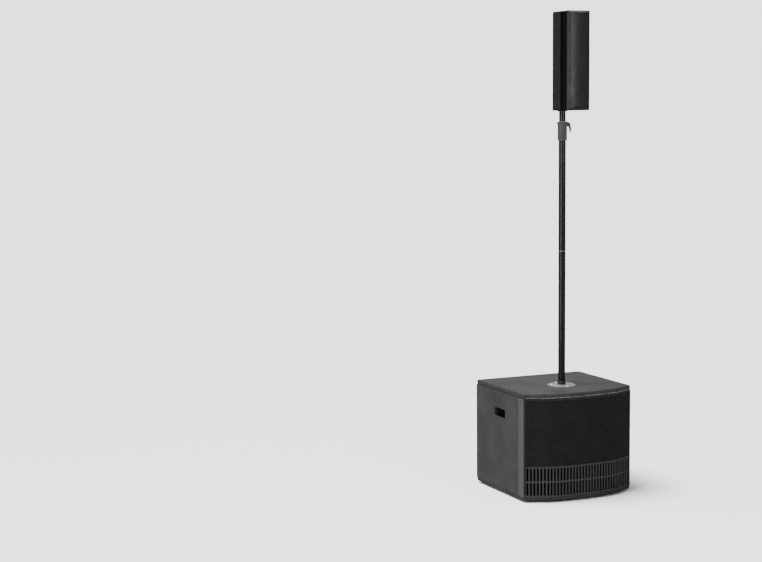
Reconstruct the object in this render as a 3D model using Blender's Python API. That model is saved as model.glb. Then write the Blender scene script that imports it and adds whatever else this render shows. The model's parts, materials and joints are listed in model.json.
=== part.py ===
"""Loudspeaker stack: a subwoofer cabinet, a telescopic pole and a slim column satellite.

Units are metres and +Z is up. The grilles face -Y, and +X is to the right of someone who looks at
them. The origin is on the floor, under the middle of the cabinet.
"""
import math

import bmesh
import bpy
from mathutils import Vector

# ---------------------------------------------------------------- driving dimensions
GAP = 0.0003                    # clearance left between touching pieces
FOOT_HEIGHT = 0.010
CABINET_WIDTH = 0.654
CABINET_HEIGHT = 0.566
SIDE_DEPTH = 0.535              # depth of the cabinet along its flat sides
FACET_DEPTH = 0.057             # how far each slanted end of the front comes forward
ARC_RISE = 0.021                # further rise of the gently curved middle of the front
FACET_X = 0.205                 # half width of the curved middle
PLY = 0.018
TOP_BOARD = 0.025               # the top board is thicker, because it carries the pole
RETURN_DEPTH = 0.058            # side flange of the steel front frame
SHEET = 0.002                   # steel sheet thickness

POLE_OFFSET_Y = -0.058          # pole axis, forward of the cabinet's middle
LOWER_POLE_RADIUS = 0.019
UPPER_POLE_RADIUS = 0.0175
POLE_JOINT_Z = 1.300
CLAMP_BOTTOM_Z = 1.886
CLAMP_TOP_Z = 1.985

SATELLITE_BOTTOM_Z = 2.043
SATELLITE_HEIGHT = 0.513
SATELLITE_HALF_WIDTH = 0.067
BEZEL_WIDTH = 0.0115            # slanted border of the satellite's front, seen from the front
BEZEL_DEPTH = 0.0115            # how far that border slants forward
# distances from the pole axis, negative towards the front
SATELLITE_BEZEL_Y = -0.1625     # where the side meets the slanted border
SATELLITE_FRAME_BACK_Y = -0.1555
SATELLITE_RECESS_BACK_Y = -0.093
SATELLITE_CORNER_Y = -0.010
SATELLITE_REAR_Y = 0.035
SATELLITE_REAR_HALF_WIDTH = 0.022

# ---------------------------------------------------------------- derived levels
HALF_WIDTH = CABINET_WIDTH / 2
TOTAL_DEPTH = SIDE_DEPTH + FACET_DEPTH + ARC_RISE
BACK_Y = TOTAL_DEPTH / 2
SIDE_FRONT_Y = BACK_Y - SIDE_DEPTH
BOTTOM_TOP_Z = FOOT_HEIGHT + PLY
TOP_Z = FOOT_HEIGHT + CABINET_HEIGHT
TOP_UNDER_Z = TOP_Z - TOP_BOARD
INNER_HALF_WIDTH = HALF_WIDTH - PLY - GAP
BAFFLE_FRONT_Y = SIDE_FRONT_Y + RETURN_DEPTH + 0.002
BAFFLE_BACK_Y = BAFFLE_FRONT_Y + PLY
PORT_TOP_Z = 0.165
PORT_LENGTH_LEFT_OPEN = 0.150   # room behind the port shelf for air to turn
GRILLE_BOTTOM_Z = 0.1915
WOOFER_Z = 0.372

HANDLE_Y = 0.0355
HANDLE_Z = 0.4345
HANDLE_LENGTH = 0.118
HANDLE_HEIGHT = 0.050
HANDLE_DEPTH = 0.075

AMP_Z = 0.300
AMP_WIDTH = 0.280
AMP_HEIGHT = 0.360
AMP_FACE_Y = BACK_Y - PLY - GAP  # outer face of the recessed amplifier plate
AMP_PLATE = 0.003


# ---------------------------------------------------------------- finishes
def finish_material(name, colour, roughness, metallic):
    material = bpy.data.materials.new(name)
    material.use_nodes = True
    shader = material.node_tree.nodes["Principled BSDF"]
    shader.inputs["Base Color"].default_value = (*colour, 1.0)
    shader.inputs["Roughness"].default_value = roughness
    shader.inputs["Metallic"].default_value = metallic
    material.diffuse_color = (*colour, 1.0)
    return material


FINISHES = {
    "textured_paint": ((0.075, 0.075, 0.078), 0.75, 0.0),
    "powder_coat": ((0.045, 0.045, 0.048), 0.45, 0.0),
    "frame_paint": ((0.14, 0.14, 0.145), 0.45, 0.0),
    "foam": ((0.012, 0.012, 0.012), 0.95, 0.0),
    "rubber": ((0.02, 0.02, 0.02), 0.8, 0.0),
    "paper": ((0.03, 0.03, 0.03), 0.85, 0.0),
    "plated_steel": ((0.55, 0.55, 0.56), 0.35, 1.0),
    "iron": ((0.08, 0.08, 0.085), 0.5, 0.8),
    "tube_paint": ((0.025, 0.025, 0.027), 0.35, 0.0),
    "clamp_plastic": ((0.12, 0.12, 0.125), 0.5, 0.0),
    "shell_plastic": ((0.035, 0.035, 0.037), 0.55, 0.0),
    "black_plastic": ((0.015, 0.015, 0.016), 0.5, 0.0),
    "circuit": ((0.03, 0.12, 0.06), 0.6, 0.0),
    "copper": ((0.45, 0.22, 0.12), 0.4, 1.0),
    "nylon": ((0.45, 0.45, 0.44), 0.6, 0.0),
}
MATERIALS = {}


def material_of(finish):
    if finish not in MATERIALS:
        MATERIALS[finish] = finish_material(finish, *FINISHES[finish])
    return MATERIALS[finish]


# ---------------------------------------------------------------- mesh helpers
def make_object(name, bm, finish, origin=(0.0, 0.0, 0.0)):
    """Turn a bmesh in world coordinates into a named object whose origin is at `origin`."""
    bmesh.ops.recalc_face_normals(bm, faces=bm.faces[:])
    bmesh.ops.translate(bm, verts=bm.verts[:], vec=-Vector(origin))
    mesh = bpy.data.meshes.new(name)
    bm.to_mesh(mesh)
    bm.free()
    mesh.materials.append(material_of(finish))
    mesh.shade_smooth()
    mesh.set_sharp_from_angle(angle=math.radians(35))
    item = bpy.data.objects.new(name, mesh)
    item.location = origin
    bpy.context.scene.collection.objects.link(item)
    return item


def add_loft(bm, loops, closed=False):
    """Skin equal loops of points; capped at both ends, or joined end to end when closed."""
    rings = [[bm.verts.new(point) for point in loop] for loop in loops]
    pairs = list(zip(rings, rings[1:]))
    if closed:
        pairs.append((rings[-1], rings[0]))
    for lower, upper in pairs:
        for i in range(len(lower)):
            j = (i + 1) % len(lower)
            bm.faces.new((lower[i], lower[j], upper[j], upper[i]))
    if not closed:
        bm.faces.new(list(reversed(rings[0])))
        bm.faces.new(rings[-1])


def loft(name, loops, finish, closed=False, origin=(0.0, 0.0, 0.0)):
    bm = bmesh.new()
    add_loft(bm, loops, closed)
    return make_object(name, bm, finish, origin)


def in_plane(plane, u, v, w):
    """Place in-plane coordinates u, v and height w for a part drawn in XY, XZ or YZ."""
    return {"XY": (u, v, w), "XZ": (u, w, v), "YZ": (w, u, v)}[plane]


PLANE_OF_AXIS = {"X": "YZ", "Y": "XZ", "Z": "XY"}


def circle(axis, centre, radius, along, segments, start=0.0):
    """A ring of points round `axis`, `along` metres from the centre."""
    plane = PLANE_OF_AXIS[axis]
    middle = Vector(centre)
    points = []
    for i in range(segments):
        angle = start + 2 * math.pi * i / segments
        offset = in_plane(plane, radius * math.cos(angle), radius * math.sin(angle), along)
        points.append(middle + Vector(offset))
    return points


def turned(name, axis, centre, profile, segments, finish, closed=False, origin=(0.0, 0.0, 0.0)):
    """A turned piece: profile holds (radius, distance along the axis) pairs."""
    loops = [circle(axis, centre, radius, along, segments) for radius, along in profile]
    return loft(name, loops, finish, closed, origin)


def circle_2d(u, v, radius, segments):
    angles = [2 * math.pi * i / segments for i in range(segments)]
    return [(u + radius * math.cos(a), v + radius * math.sin(a)) for a in angles]


def rectangle_2d(u, v, width, height, chamfer=0.0):
    a, b = width / 2, height / 2
    if chamfer == 0.0:
        return [(u - a, v - b), (u + a, v - b), (u + a, v + b), (u - a, v + b)]
    c = chamfer
    corners = [(-a + c, -b), (a - c, -b), (a, -b + c), (a, b - c),
               (a - c, b), (-a + c, b), (-a, b - c), (-a, -b + c)]
    return [(u + du, v + dv) for du, dv in corners]


def panel(name, plane, outline, holes, w0, w1, finish, origin=(0.0, 0.0, 0.0)):
    """A flat board with through holes, from w0 to w1 along the plane's normal."""
    bm = bmesh.new()
    loops = [[bm.verts.new(in_plane(plane, u, v, w0)) for u, v in loop] for loop in [outline, *holes]]
    edges = [bm.edges.new((ring[i - 1], ring[i])) for ring in loops for i in range(len(ring))]
    normal = in_plane(plane, 0.0, 0.0, 1.0)
    bmesh.ops.triangle_fill(bm, use_beauty=True, edges=edges, normal=normal)
    lift = Vector(in_plane(plane, 0.0, 0.0, w1 - w0))
    copies = {vert: bm.verts.new(vert.co + lift) for vert in list(bm.verts)}
    for face in list(bm.faces):
        bm.faces.new([copies[vert] for vert in reversed(face.verts)])
    for ring in loops:
        for i in range(len(ring)):
            bm.faces.new((ring[i - 1], ring[i], copies[ring[i]], copies[ring[i - 1]]))
    return make_object(name, bm, finish, origin)


def box_loops(low, high):
    """Two rectangles, bottom and top, of an upright box."""
    (x0, y0, z0), (x1, y1, z1) = low, high
    ring = [(x0, y0), (x1, y0), (x1, y1), (x0, y1)]
    return [[(x, y, z0) for x, y in ring], [(x, y, z1) for x, y in ring]]


def box(name, low, high, finish):
    return loft(name, box_loops(low, high), finish)


def pins(name, axis, centres, profile, segments, finish):
    """Equal turned pins, each its own piece, numbered from 1."""
    for number, centre in enumerate(centres, start=1):
        turned(f"{name}_{number}", axis, centre, profile, segments, finish)


def shift_path(points, distance, closed=False):
    """Move a plan path sideways, to its left, by `distance`, with mitred corners."""
    count = len(points)
    shifted = []
    for i, point in enumerate(points):
        here = Vector(point)
        before = Vector(points[i - 1]) if (closed or i > 0) else None
        after = Vector(points[(i + 1) % count]) if (closed or i < count - 1) else None
        directions = []
        if before is not None:
            directions.append((here - before).normalized())
        if after is not None:
            directions.append((after - here).normalized())
        normals = [Vector((-d.y, d.x)) for d in directions]
        middle = sum(normals, Vector((0.0, 0.0))).normalized()
        shifted.append(tuple(here + middle * (distance / middle.dot(normals[0]))))
    return shifted


# ---------------------------------------------------------------- plan of the cabinet
ARC_STEPS = 6


def front_path():
    """The front edge in plan, left to right: slanted end, gentle arc, slanted end."""
    points = [(-HALF_WIDTH, SIDE_FRONT_Y)]
    for i in range(ARC_STEPS + 1):
        x = FACET_X * (2 * i / ARC_STEPS - 1)
        rise = FACET_DEPTH + ARC_RISE * (1 - (x / FACET_X) ** 2)
        points.append((x, SIDE_FRONT_Y - rise))
    points.append((HALF_WIDTH, SIDE_FRONT_Y))
    return points


def plate_outline(inset):
    """The whole plan of the top and bottom plates, drawn in by `inset`."""
    outline = front_path() + [(HALF_WIDTH, BACK_Y), (-HALF_WIDTH, BACK_Y)]
    return shift_path(outline, inset, closed=True) if inset else outline


def plate_loops(levels):
    """Loops of the plate outline for (inset, height) pairs."""
    return [[(x, y, z) for x, y in plate_outline(inset)] for inset, z in levels]


def cut_round_hole(item, centre, radius, depth, segments):
    """Cut a vertical round hole with a Boolean."""
    cutter = turned(item.name + "_cutter", "Z", centre, [(radius, -depth), (radius, depth)], segments, "iron")
    cutter.hide_render = True
    cutter.display_type = "WIRE"
    cut = item.modifiers.new("hole", "BOOLEAN")
    cut.operation = "DIFFERENCE"
    cut.object = cutter


SOCKET_RADIUS = 0.026
FLANGE_RADIUS = 0.0755
EDGE_CHAMFER = 0.005
SEAM_CHAMFER = 0.0025


def build_cabinet_boards():
    pole = (0.0, POLE_OFFSET_Y, TOP_Z)
    top = loft("sub_top_panel", plate_loops([
        (SEAM_CHAMFER, TOP_UNDER_Z), (0.0, TOP_UNDER_Z + SEAM_CHAMFER),
        (0.0, TOP_Z - EDGE_CHAMFER), (EDGE_CHAMFER, TOP_Z)]), "textured_paint")
    cut_round_hole(top, pole, SOCKET_RADIUS + 2 * GAP, 0.03, 32)
    loft("sub_bottom_panel", plate_loops([
        (EDGE_CHAMFER, FOOT_HEIGHT), (0.0, FOOT_HEIGHT + EDGE_CHAMFER),
        (0.0, BOTTOM_TOP_Z - SEAM_CHAMFER), (SEAM_CHAMFER, BOTTOM_TOP_Z)]), "textured_paint")
    side_front = SIDE_FRONT_Y + RETURN_DEPTH + GAP
    z0, z1 = BOTTOM_TOP_Z + GAP, TOP_UNDER_Z - GAP
    outline = [(side_front, z0), (BACK_Y, z0), (BACK_Y, z1), (side_front, z1)]
    opening = rectangle_2d(HANDLE_Y, HANDLE_Z, HANDLE_LENGTH, HANDLE_HEIGHT, 0.008)
    panel("sub_left_side", "YZ", outline, [opening], -HALF_WIDTH, -HALF_WIDTH + PLY, "textured_paint")
    panel("sub_right_side", "YZ", outline, [opening], HALF_WIDTH - PLY, HALF_WIDTH, "textured_paint")
    w = INNER_HALF_WIDTH
    amp_hole = rectangle_2d(0.0, AMP_Z, AMP_WIDTH, AMP_HEIGHT, 0.01)
    back = [(-w, z0), (w, z0), (w, z1), (-w, z1)]
    panel("sub_back_panel", "XZ", back, [amp_hole], BACK_Y - PLY, BACK_Y, "textured_paint")
    baffle = [(-w, PORT_TOP_Z), (w, PORT_TOP_Z), (w, z1), (-w, z1)]
    woofer_hole = circle_2d(0.0, WOOFER_Z, 0.141, 32)
    panel("sub_baffle", "XZ", baffle, [woofer_hole], BAFFLE_FRONT_Y, BAFFLE_BACK_Y, "textured_paint")
    box("sub_port_shelf", (-w, BAFFLE_BACK_Y + GAP, PORT_TOP_Z),
        (w, BACK_Y - PORT_LENGTH_LEFT_OPEN, PORT_TOP_Z + PLY), "textured_paint")


# ---------------------------------------------------------------- front frame, grille and port grid
def front_with_returns():
    back = SIDE_FRONT_Y + RETURN_DEPTH
    return [(-HALF_WIDTH, back)] + front_path() + [(HALF_WIDTH, back)]


def path_lengths(points):
    lengths = [0.0]
    for a, b in zip(points, points[1:]):
        lengths.append(lengths[-1] + (Vector(b) - Vector(a)).length)
    return lengths


def point_on(points, lengths, distance):
    """The point at `distance` along a path whose vertices sit at `lengths`."""
    for i in range(len(points) - 1):
        if distance <= lengths[i + 1] or i == len(points) - 2:
            share = (distance - lengths[i]) / (lengths[i + 1] - lengths[i])
            return Vector(points[i]).lerp(Vector(points[i + 1]), share)


def curved_sheet(name, path, stations, heights, is_hole, outer, inner, finish):
    """A sheet bent along a plan path, between two depths behind it, with some grid cells open."""
    lengths = path_lengths(path)
    columns = []
    for depth in (outer, inner):
        moved = shift_path(path, depth)
        columns.append([point_on(moved, lengths, s) for s in stations])
    bm = bmesh.new()
    verts = [[[bm.verts.new((p.x, p.y, z)) for z in heights] for p in column] for column in columns]
    solid = {(i, j) for i in range(len(stations) - 1) for j in range(len(heights) - 1) if not is_hole(i, j)}
    steps = {(-1, 0): ((0, 0), (0, 1)), (1, 0): ((1, 0), (1, 1)),
             (0, -1): ((0, 0), (1, 0)), (0, 1): ((0, 1), (1, 1))}
    for i, j in sorted(solid):
        corners = [(i, j), (i + 1, j), (i + 1, j + 1), (i, j + 1)]
        bm.faces.new([verts[0][a][b] for a, b in corners])
        bm.faces.new([verts[1][a][b] for a, b in reversed(corners)])
        for (di, dj), ((a0, b0), (a1, b1)) in steps.items():
            if (i + di, j + dj) not in solid:
                first, second = (i + a0, j + b0), (i + a1, j + b1)
                bm.faces.new([verts[0][first[0]][first[1]], verts[0][second[0]][second[1]],
                              verts[1][second[0]][second[1]], verts[1][first[0]][first[1]]])
    loose = [vert for vert in bm.verts if not vert.link_faces]
    bmesh.ops.delete(bm, geom=loose, context="VERTS")
    return make_object(name, bm, finish)


FRAME_SETBACK = 0.0008
FRAME_BORDER = 0.012
RAIL_HEIGHT = 0.010
SLOT_COUNT = 36
SLOT_HEIGHT = 0.068
RIB_HEIGHT = 0.009
SLOT_SHARE = 0.54               # slot width as a share of the slot pitch


def build_front():
    z0, z1 = BOTTOM_TOP_Z + GAP, TOP_UNDER_Z - GAP
    full = front_with_returns()
    bends = path_lengths(full)
    stations = [bends[0], bends[1], bends[1] + FRAME_BORDER, *bends[2:-2],
                bends[-2] - FRAME_BORDER, bends[-2], bends[-1]]
    last = len(stations) - 3
    rails = [z0, z0 + RAIL_HEIGHT, z1 - RAIL_HEIGHT, z1]
    behind_frame = FRAME_SETBACK + SHEET + GAP
    curved_sheet("front_frame", full, stations, rails,
                 lambda i, j: 2 <= i < last and j == 1, FRAME_SETBACK, FRAME_SETBACK + SHEET, "frame_paint")
    front = front_path()
    bends = path_lengths(front)
    edge = 0.006
    stations = [bends[0] + edge, *bends[1:-1], bends[-1] - edge]
    curved_sheet("front_grille", front, stations, [GRILLE_BOTTOM_Z, z1 - GAP],
                 lambda i, j: False, behind_frame, behind_frame + 0.0015, "powder_coat")
    foam_face = behind_frame + 0.0015 + GAP
    curved_sheet("grille_foam", front, stations, [GRILLE_BOTTOM_Z + 0.004, z1 - 0.004],
                 lambda i, j: False, foam_face, foam_face + 0.006, "foam")
    first = bends[0] + FRAME_BORDER
    pitch = (bends[-1] - 2 * FRAME_BORDER) / SLOT_COUNT
    stations = [bends[0] + edge]
    for slot in range(SLOT_COUNT):
        middle = first + (slot + 0.5) * pitch
        stations += [middle - pitch * SLOT_SHARE / 2, middle + pitch * SLOT_SHARE / 2]
    stations.append(bends[-1] - edge)
    slot_z0 = z0 + RAIL_HEIGHT - 0.001
    rows = [z0 + GAP, slot_z0, slot_z0 + SLOT_HEIGHT, slot_z0 + SLOT_HEIGHT + RIB_HEIGHT,
            slot_z0 + 2 * SLOT_HEIGHT + RIB_HEIGHT, GRILLE_BOTTOM_Z - GAP]
    curved_sheet("port_grid", front, stations, rows,
                 lambda i, j: i % 2 == 1 and j in (1, 3), behind_frame, behind_frame + 0.007, "frame_paint")


# ---------------------------------------------------------------- woofer
def build_woofer():
    centre = (0.0, BAFFLE_FRONT_Y, WOOFER_Z)
    turned("woofer_basket", "Y", centre, [
        (0.155, -GAP), (0.155, -0.008), (0.136, -0.008), (0.136, 0.004), (0.074, 0.085), (0.074, 0.098),
        (0.078, 0.098), (0.078, 0.088), (0.1395, 0.006), (0.1395, -GAP)], 20, "iron", closed=True)
    turned("woofer_surround", "Y", centre, [
        (0.1355, -0.007), (0.130, -0.0165), (0.122, -0.0165), (0.1175, -0.008), (0.122, -0.012),
        (0.130, -0.012)], 20, "rubber", closed=True)
    turned("woofer_cone", "Y", centre, [
        (0.010, 0.011), (0.020, 0.014), (0.046, 0.022), (0.050, 0.028), (0.117, -0.0075), (0.117, -0.0055),
        (0.042, 0.0365), (0.038, 0.060), (0.038, 0.110), (0.0365, 0.110), (0.0365, 0.0235), (0.020, 0.0155),
        (0.010, 0.0125)], 20, "paper", origin=centre)
    turned("woofer_magnet", "Y", centre, [
        (0.082, 0.0985), (0.082, 0.150), (0.014, 0.150), (0.014, 0.100), (0.034, 0.100), (0.034, 0.130),
        (0.0405, 0.130), (0.0405, 0.0985)], 20, "iron", closed=True)


# ---------------------------------------------------------------- handles, flange and feet
def handle_cup(name, side):
    """A moulded cup behind the opening in one side wall; side is -1 or +1."""
    outer = rectangle_2d(HANDLE_Y, HANDLE_Z, HANDLE_LENGTH + 0.010, HANDLE_HEIGHT + 0.040, 0.010)
    inner = rectangle_2d(HANDLE_Y, HANDLE_Z, HANDLE_LENGTH + 0.004, HANDLE_HEIGHT + 0.034, 0.008)
    mouth = HALF_WIDTH - PLY - GAP
    end = mouth - HANDLE_DEPTH
    wall = 0.003
    levels = [(outer, end), (outer, mouth), (inner, mouth), (inner, end + wall)]
    loops = [[(side * x, y, z) for y, z in ring] for ring, x in levels]
    return loft(name, loops, "black_plastic")


def build_hardware():
    handle_cup("handle_cup_left", -1)
    handle_cup("handle_cup_right", 1)
    pole = (0.0, POLE_OFFSET_Y, TOP_Z)
    turned("pole_flange", "Z", pole, [
        (0.0100, 0.004), (0.024, 0.004), (0.026, 0.003), (0.070, 0.003), (FLANGE_RADIUS, 0.0015),
        (FLANGE_RADIUS, GAP), (SOCKET_RADIUS, GAP), (SOCKET_RADIUS, -0.060), (0.0100, -0.060)],
        40, "plated_steel", closed=True)
    screws = [(0.061 * math.cos(a), POLE_OFFSET_Y + 0.061 * math.sin(a), TOP_Z + 0.003 + GAP)
              for a in (0.0, math.pi / 2, math.pi, 3 * math.pi / 2)]
    pins("flange_screw", "Z", screws, [(0.0055, 0.0), (0.0055, 0.0012), (0.0035, 0.0025)], 10, "plated_steel")
    feet = [(sx * 0.270, y, FOOT_HEIGHT - GAP) for sx in (-1, 1) for y in (-0.175, 0.250)]
    pins("rubber_foot", "Z", feet, [(0.020, 0.0), (0.017, -(FOOT_HEIGHT - GAP))], 20, "rubber")


# ---------------------------------------------------------------- amplifier
KNOB_Z = AMP_Z + 0.145
LEVEL_X = 0.100
CROSSOVER_X = 0.060
BUTTON_X = 0.020
LINE_SOCKET_Z = AMP_Z + 0.090
LINE_SOCKET_XS = (-0.105, -0.065, -0.025, 0.015)
SPEAKER_SOCKET_XS = (0.065, 0.105)
MAINS_Z = AMP_Z - 0.145
INLET_X = -0.085
ROCKER_X = -0.030
SOCKET_HOLE = 0.0120


def build_amplifier():
    y0, y1 = AMP_FACE_Y - AMP_PLATE, AMP_FACE_Y
    holes = [circle_2d(LEVEL_X, KNOB_Z, 0.0036, 12), circle_2d(CROSSOVER_X, KNOB_Z, 0.0036, 12),
             circle_2d(BUTTON_X, KNOB_Z, 0.0046, 12)]
    holes += [circle_2d(x, LINE_SOCKET_Z, SOCKET_HOLE - 0.001, 14) for x in LINE_SOCKET_XS + SPEAKER_SOCKET_XS]
    holes += [rectangle_2d(INLET_X, MAINS_Z, 0.032, 0.024), rectangle_2d(ROCKER_X, MAINS_Z, 0.023, 0.030)]
    plate = rectangle_2d(0.0, AMP_Z, AMP_WIDTH + 0.030, AMP_HEIGHT + 0.030)
    panel("amp_plate", "XZ", plate, holes, y0, y1, "powder_coat")
    build_heatsink()
    box("amp_circuit_board", (-0.125, y0 - 0.022, AMP_Z - 0.10), (0.125, y0 - 0.020, AMP_Z + 0.06), "circuit")
    turned("amp_transformer", "Y", (0.0, y0 - 0.075, AMP_Z - 0.02), [
        (0.048, 0.0), (0.052, 0.004), (0.052, 0.036), (0.048, 0.040), (0.016, 0.040), (0.016, 0.0)], 16,
        "copper", closed=True)


def build_heatsink():
    """A finned heat sink on the plate, drawn as a comb in plan."""
    fins, pitch, fin, root, height = 12, 0.018, 0.003, 0.004, 0.0155
    start = -(fins - 1) * pitch / 2
    back = AMP_FACE_Y + GAP
    comb = [(start - fin, back), (start - fin, back + root)]
    for i in range(fins):
        x = start + i * pitch
        comb += [(x - fin / 2, back + root), (x - fin / 2, back + height), (x + fin / 2, back + height),
                 (x + fin / 2, back + root)]
    comb += [(-start + fin, back + root), (-start + fin, back)]
    panel("amp_heatsink", "XY", comb, [], AMP_Z - 0.115, AMP_Z + 0.060, "powder_coat")


def control_knob(name, x):
    """A pot knob on its spindle; the axis runs along +Y through the plate."""
    centre = (x, AMP_FACE_Y, KNOB_Z)
    turned(name, "Y", centre, [
        (0.0030, -0.014), (0.0030, 0.0008), (0.0085, 0.0008), (0.0085, 0.003), (0.0075, 0.003),
        (0.0066, 0.0145)], 16, "black_plastic", origin=centre)


def build_controls():
    control_knob("level_knob", LEVEL_X)
    control_knob("crossover_knob", CROSSOVER_X)
    button = (BUTTON_X, AMP_FACE_Y, KNOB_Z)
    turned("phase_button", "Y", button, [(0.004, -0.012), (0.004, 0.0065), (0.0034, 0.0072)], 12,
           "black_plastic", origin=button)
    rocker_centre = (ROCKER_X, AMP_FACE_Y - 0.001, MAINS_Z)
    profile = [(-0.0125, -0.004), (0.0125, -0.004), (0.0125, 0.0035), (0.0, 0.0015), (-0.0125, 0.0045)]
    tilt = math.radians(4)
    loops = []
    for x in (-0.0095, 0.0095):
        loops.append([(ROCKER_X + x, rocker_centre[1] + y * math.cos(tilt) - z * math.sin(tilt),
                       MAINS_Z + y * math.sin(tilt) + z * math.cos(tilt)) for z, y in profile])
    loft("power_rocker", loops, "black_plastic", origin=rocker_centre)


def socket_strip(name, xs):
    """A strip of round panel sockets standing on the amplifier plate."""
    middle, length = (xs[0] + xs[-1]) / 2, xs[-1] - xs[0] + 0.032
    outline = rectangle_2d(middle, LINE_SOCKET_Z, length, 0.032, 0.004)
    wells = [circle_2d(x, LINE_SOCKET_Z, SOCKET_HOLE, 14) for x in xs]
    panel(name, "XZ", outline, wells, AMP_FACE_Y + GAP, AMP_FACE_Y + 0.004, "black_plastic")


def build_sockets():
    socket_strip("line_socket_strip", LINE_SOCKET_XS)
    socket_strip("speaker_socket_strip", SPEAKER_SOCKET_XS)
    outer = rectangle_2d(INLET_X, MAINS_Z, 0.036, 0.029, 0.003)
    neck = rectangle_2d(INLET_X, MAINS_Z, 0.031, 0.0232, 0.003)
    well = rectangle_2d(INLET_X, MAINS_Z, 0.026, 0.018, 0.003)
    levels = [(neck, -0.022), (neck, GAP), (outer, GAP), (outer, 0.0025), (well, 0.0025), (well, -0.016)]
    loops = [[(u, AMP_FACE_Y + y, v) for u, v in ring] for ring, y in levels]
    loft("mains_inlet", loops, "black_plastic")


# ---------------------------------------------------------------- pole and clamp
UPPER_TUBE_BOTTOM_Z = 1.360
SOCKET_DEPTH = 0.078
UPPER_TUBE_TOP_Z = SATELLITE_BOTTOM_Z + SOCKET_DEPTH
BUSH_BOTTOM_Z = 1.960
LEVER_Z = 1.968


def build_pole():
    foot = (0.0, POLE_OFFSET_Y, 0.0)
    r = LOWER_POLE_RADIUS
    bore = UPPER_POLE_RADIUS + GAP
    start = TOP_Z + 0.004 + GAP
    joint = POLE_JOINT_Z
    turned("pole_lower_tube", "Z", foot, [
        (0.0097, TOP_Z - 0.045), (0.0097, start), (r, start), (r, joint - 0.002), (bore, joint - 0.002),
        (bore, start + 0.030)], 24, "tube_paint")
    spigot = bore - GAP
    turned("pole_joint_spigot", "Z", foot, [
        (spigot, joint - 0.040), (spigot, joint - 0.002 + GAP), (r - 0.0006, joint - 0.002 + GAP),
        (r - 0.0006, joint + 0.002 - GAP), (spigot, joint + 0.002 - GAP), (spigot, joint + 0.040)], 24, "iron")
    turned("pole_middle_tube", "Z", foot, [
        (r, joint + 0.002), (r, BUSH_BOTTOM_Z), (bore, BUSH_BOTTOM_Z), (bore, joint + 0.002)], 24,
        "tube_paint", closed=True)
    turned("pole_upper_tube", "Z", foot, [
        (UPPER_POLE_RADIUS, UPPER_TUBE_BOTTOM_Z), (UPPER_POLE_RADIUS, UPPER_TUBE_TOP_Z),
        (UPPER_POLE_RADIUS - 0.002, UPPER_TUBE_TOP_Z), (UPPER_POLE_RADIUS - 0.002, UPPER_TUBE_BOTTOM_Z)], 24,
        "tube_paint", closed=True, origin=(0.0, POLE_OFFSET_Y, UPPER_TUBE_BOTTOM_Z))
    plug = UPPER_POLE_RADIUS - 0.002 - GAP
    end = (0.0, POLE_OFFSET_Y, UPPER_TUBE_TOP_Z)
    turned("pole_top_cap", "Z", end, [
        (plug, -0.025), (plug, GAP), (UPPER_POLE_RADIUS, GAP), (UPPER_POLE_RADIUS, 0.003), (0.0155, 0.005)],
        24, "black_plastic", origin=end)


def build_clamp():
    foot = (0.0, POLE_OFFSET_Y, 0.0)
    inner = LOWER_POLE_RADIUS + GAP
    turned("clamp_collar", "Z", foot, [
        (inner, CLAMP_BOTTOM_Z), (0.0240, CLAMP_BOTTOM_Z), (0.0250, CLAMP_BOTTOM_Z + 0.002),
        (0.0250, CLAMP_TOP_Z - 0.020), (0.0275, CLAMP_TOP_Z - 0.015), (0.0275, CLAMP_TOP_Z - 0.003),
        (0.0260, CLAMP_TOP_Z), (inner, CLAMP_TOP_Z)], 24, "clamp_plastic", closed=True)
    turned("clamp_bush", "Z", foot, [
        (UPPER_POLE_RADIUS + GAP, BUSH_BOTTOM_Z + GAP), (inner - GAP, BUSH_BOTTOM_Z + GAP),
        (inner - GAP, CLAMP_TOP_Z + 0.002), (UPPER_POLE_RADIUS + GAP, CLAMP_TOP_Z + 0.002)],
        24, "nylon", closed=True)
    build_lever()


def build_lever():
    """A hooked wing lever whose hub turns about +X beside the collar."""
    centre = (0.0, POLE_OFFSET_Y, LEVER_Z)
    path = [(0.0285, 0.010), (0.0370, 0.009), (0.0425, 0.000), (0.0470, -0.014), (0.0490, -0.028),
            (0.0480, -0.040)]
    thickness = [0.009, 0.011, 0.011, 0.008, 0.007, 0.006]
    widths = [0.012, 0.018, 0.020, 0.018, 0.015, 0.010]
    loops = []
    for i, (x, z) in enumerate(path):
        before = Vector(path[max(i - 1, 0)])
        after = Vector(path[min(i + 1, len(path) - 1)])
        along = (after - before).normalized()
        normal = Vector((-along.y, along.x)) * (thickness[i] / 2)
        half = widths[i] / 2
        ring = []
        for side, spread in ((1, -1), (1, 1), (-1, 1), (-1, -1)):
            ring.append((x + side * normal.x, POLE_OFFSET_Y + spread * half, LEVER_Z + z + side * normal.y))
        loops.append(ring)
    loft("clamp_lever", loops, "clamp_plastic", origin=centre)


# ---------------------------------------------------------------- satellite
CAP_THICKNESS = 0.010
SHELL_WALL = 0.007
RECESS_DEPTH = 0.013
RIDGE = 0.005
S_BOTTOM = SATELLITE_BOTTOM_Z
S_TOP = SATELLITE_BOTTOM_Z + SATELLITE_HEIGHT


def satellite_half_plan():
    """Left half of the outer plan, front to rear, measured from the pole axis, with its side channel."""
    w = SATELLITE_HALF_WIDTH
    floor = -w + RECESS_DEPTH
    start, back = SATELLITE_FRAME_BACK_Y + GAP, SATELLITE_RECESS_BACK_Y
    ridge = (SATELLITE_FRAME_BACK_Y + back) / 2
    return [(floor, start), (floor, ridge - RIDGE / 2), (floor - RIDGE, ridge - RIDGE / 2),
            (floor - RIDGE, ridge + RIDGE / 2), (floor, ridge + RIDGE / 2), (floor, back),
            (-w, back), (-w, SATELLITE_CORNER_Y), (-SATELLITE_REAR_HALF_WIDTH, SATELLITE_REAR_Y)]


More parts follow.
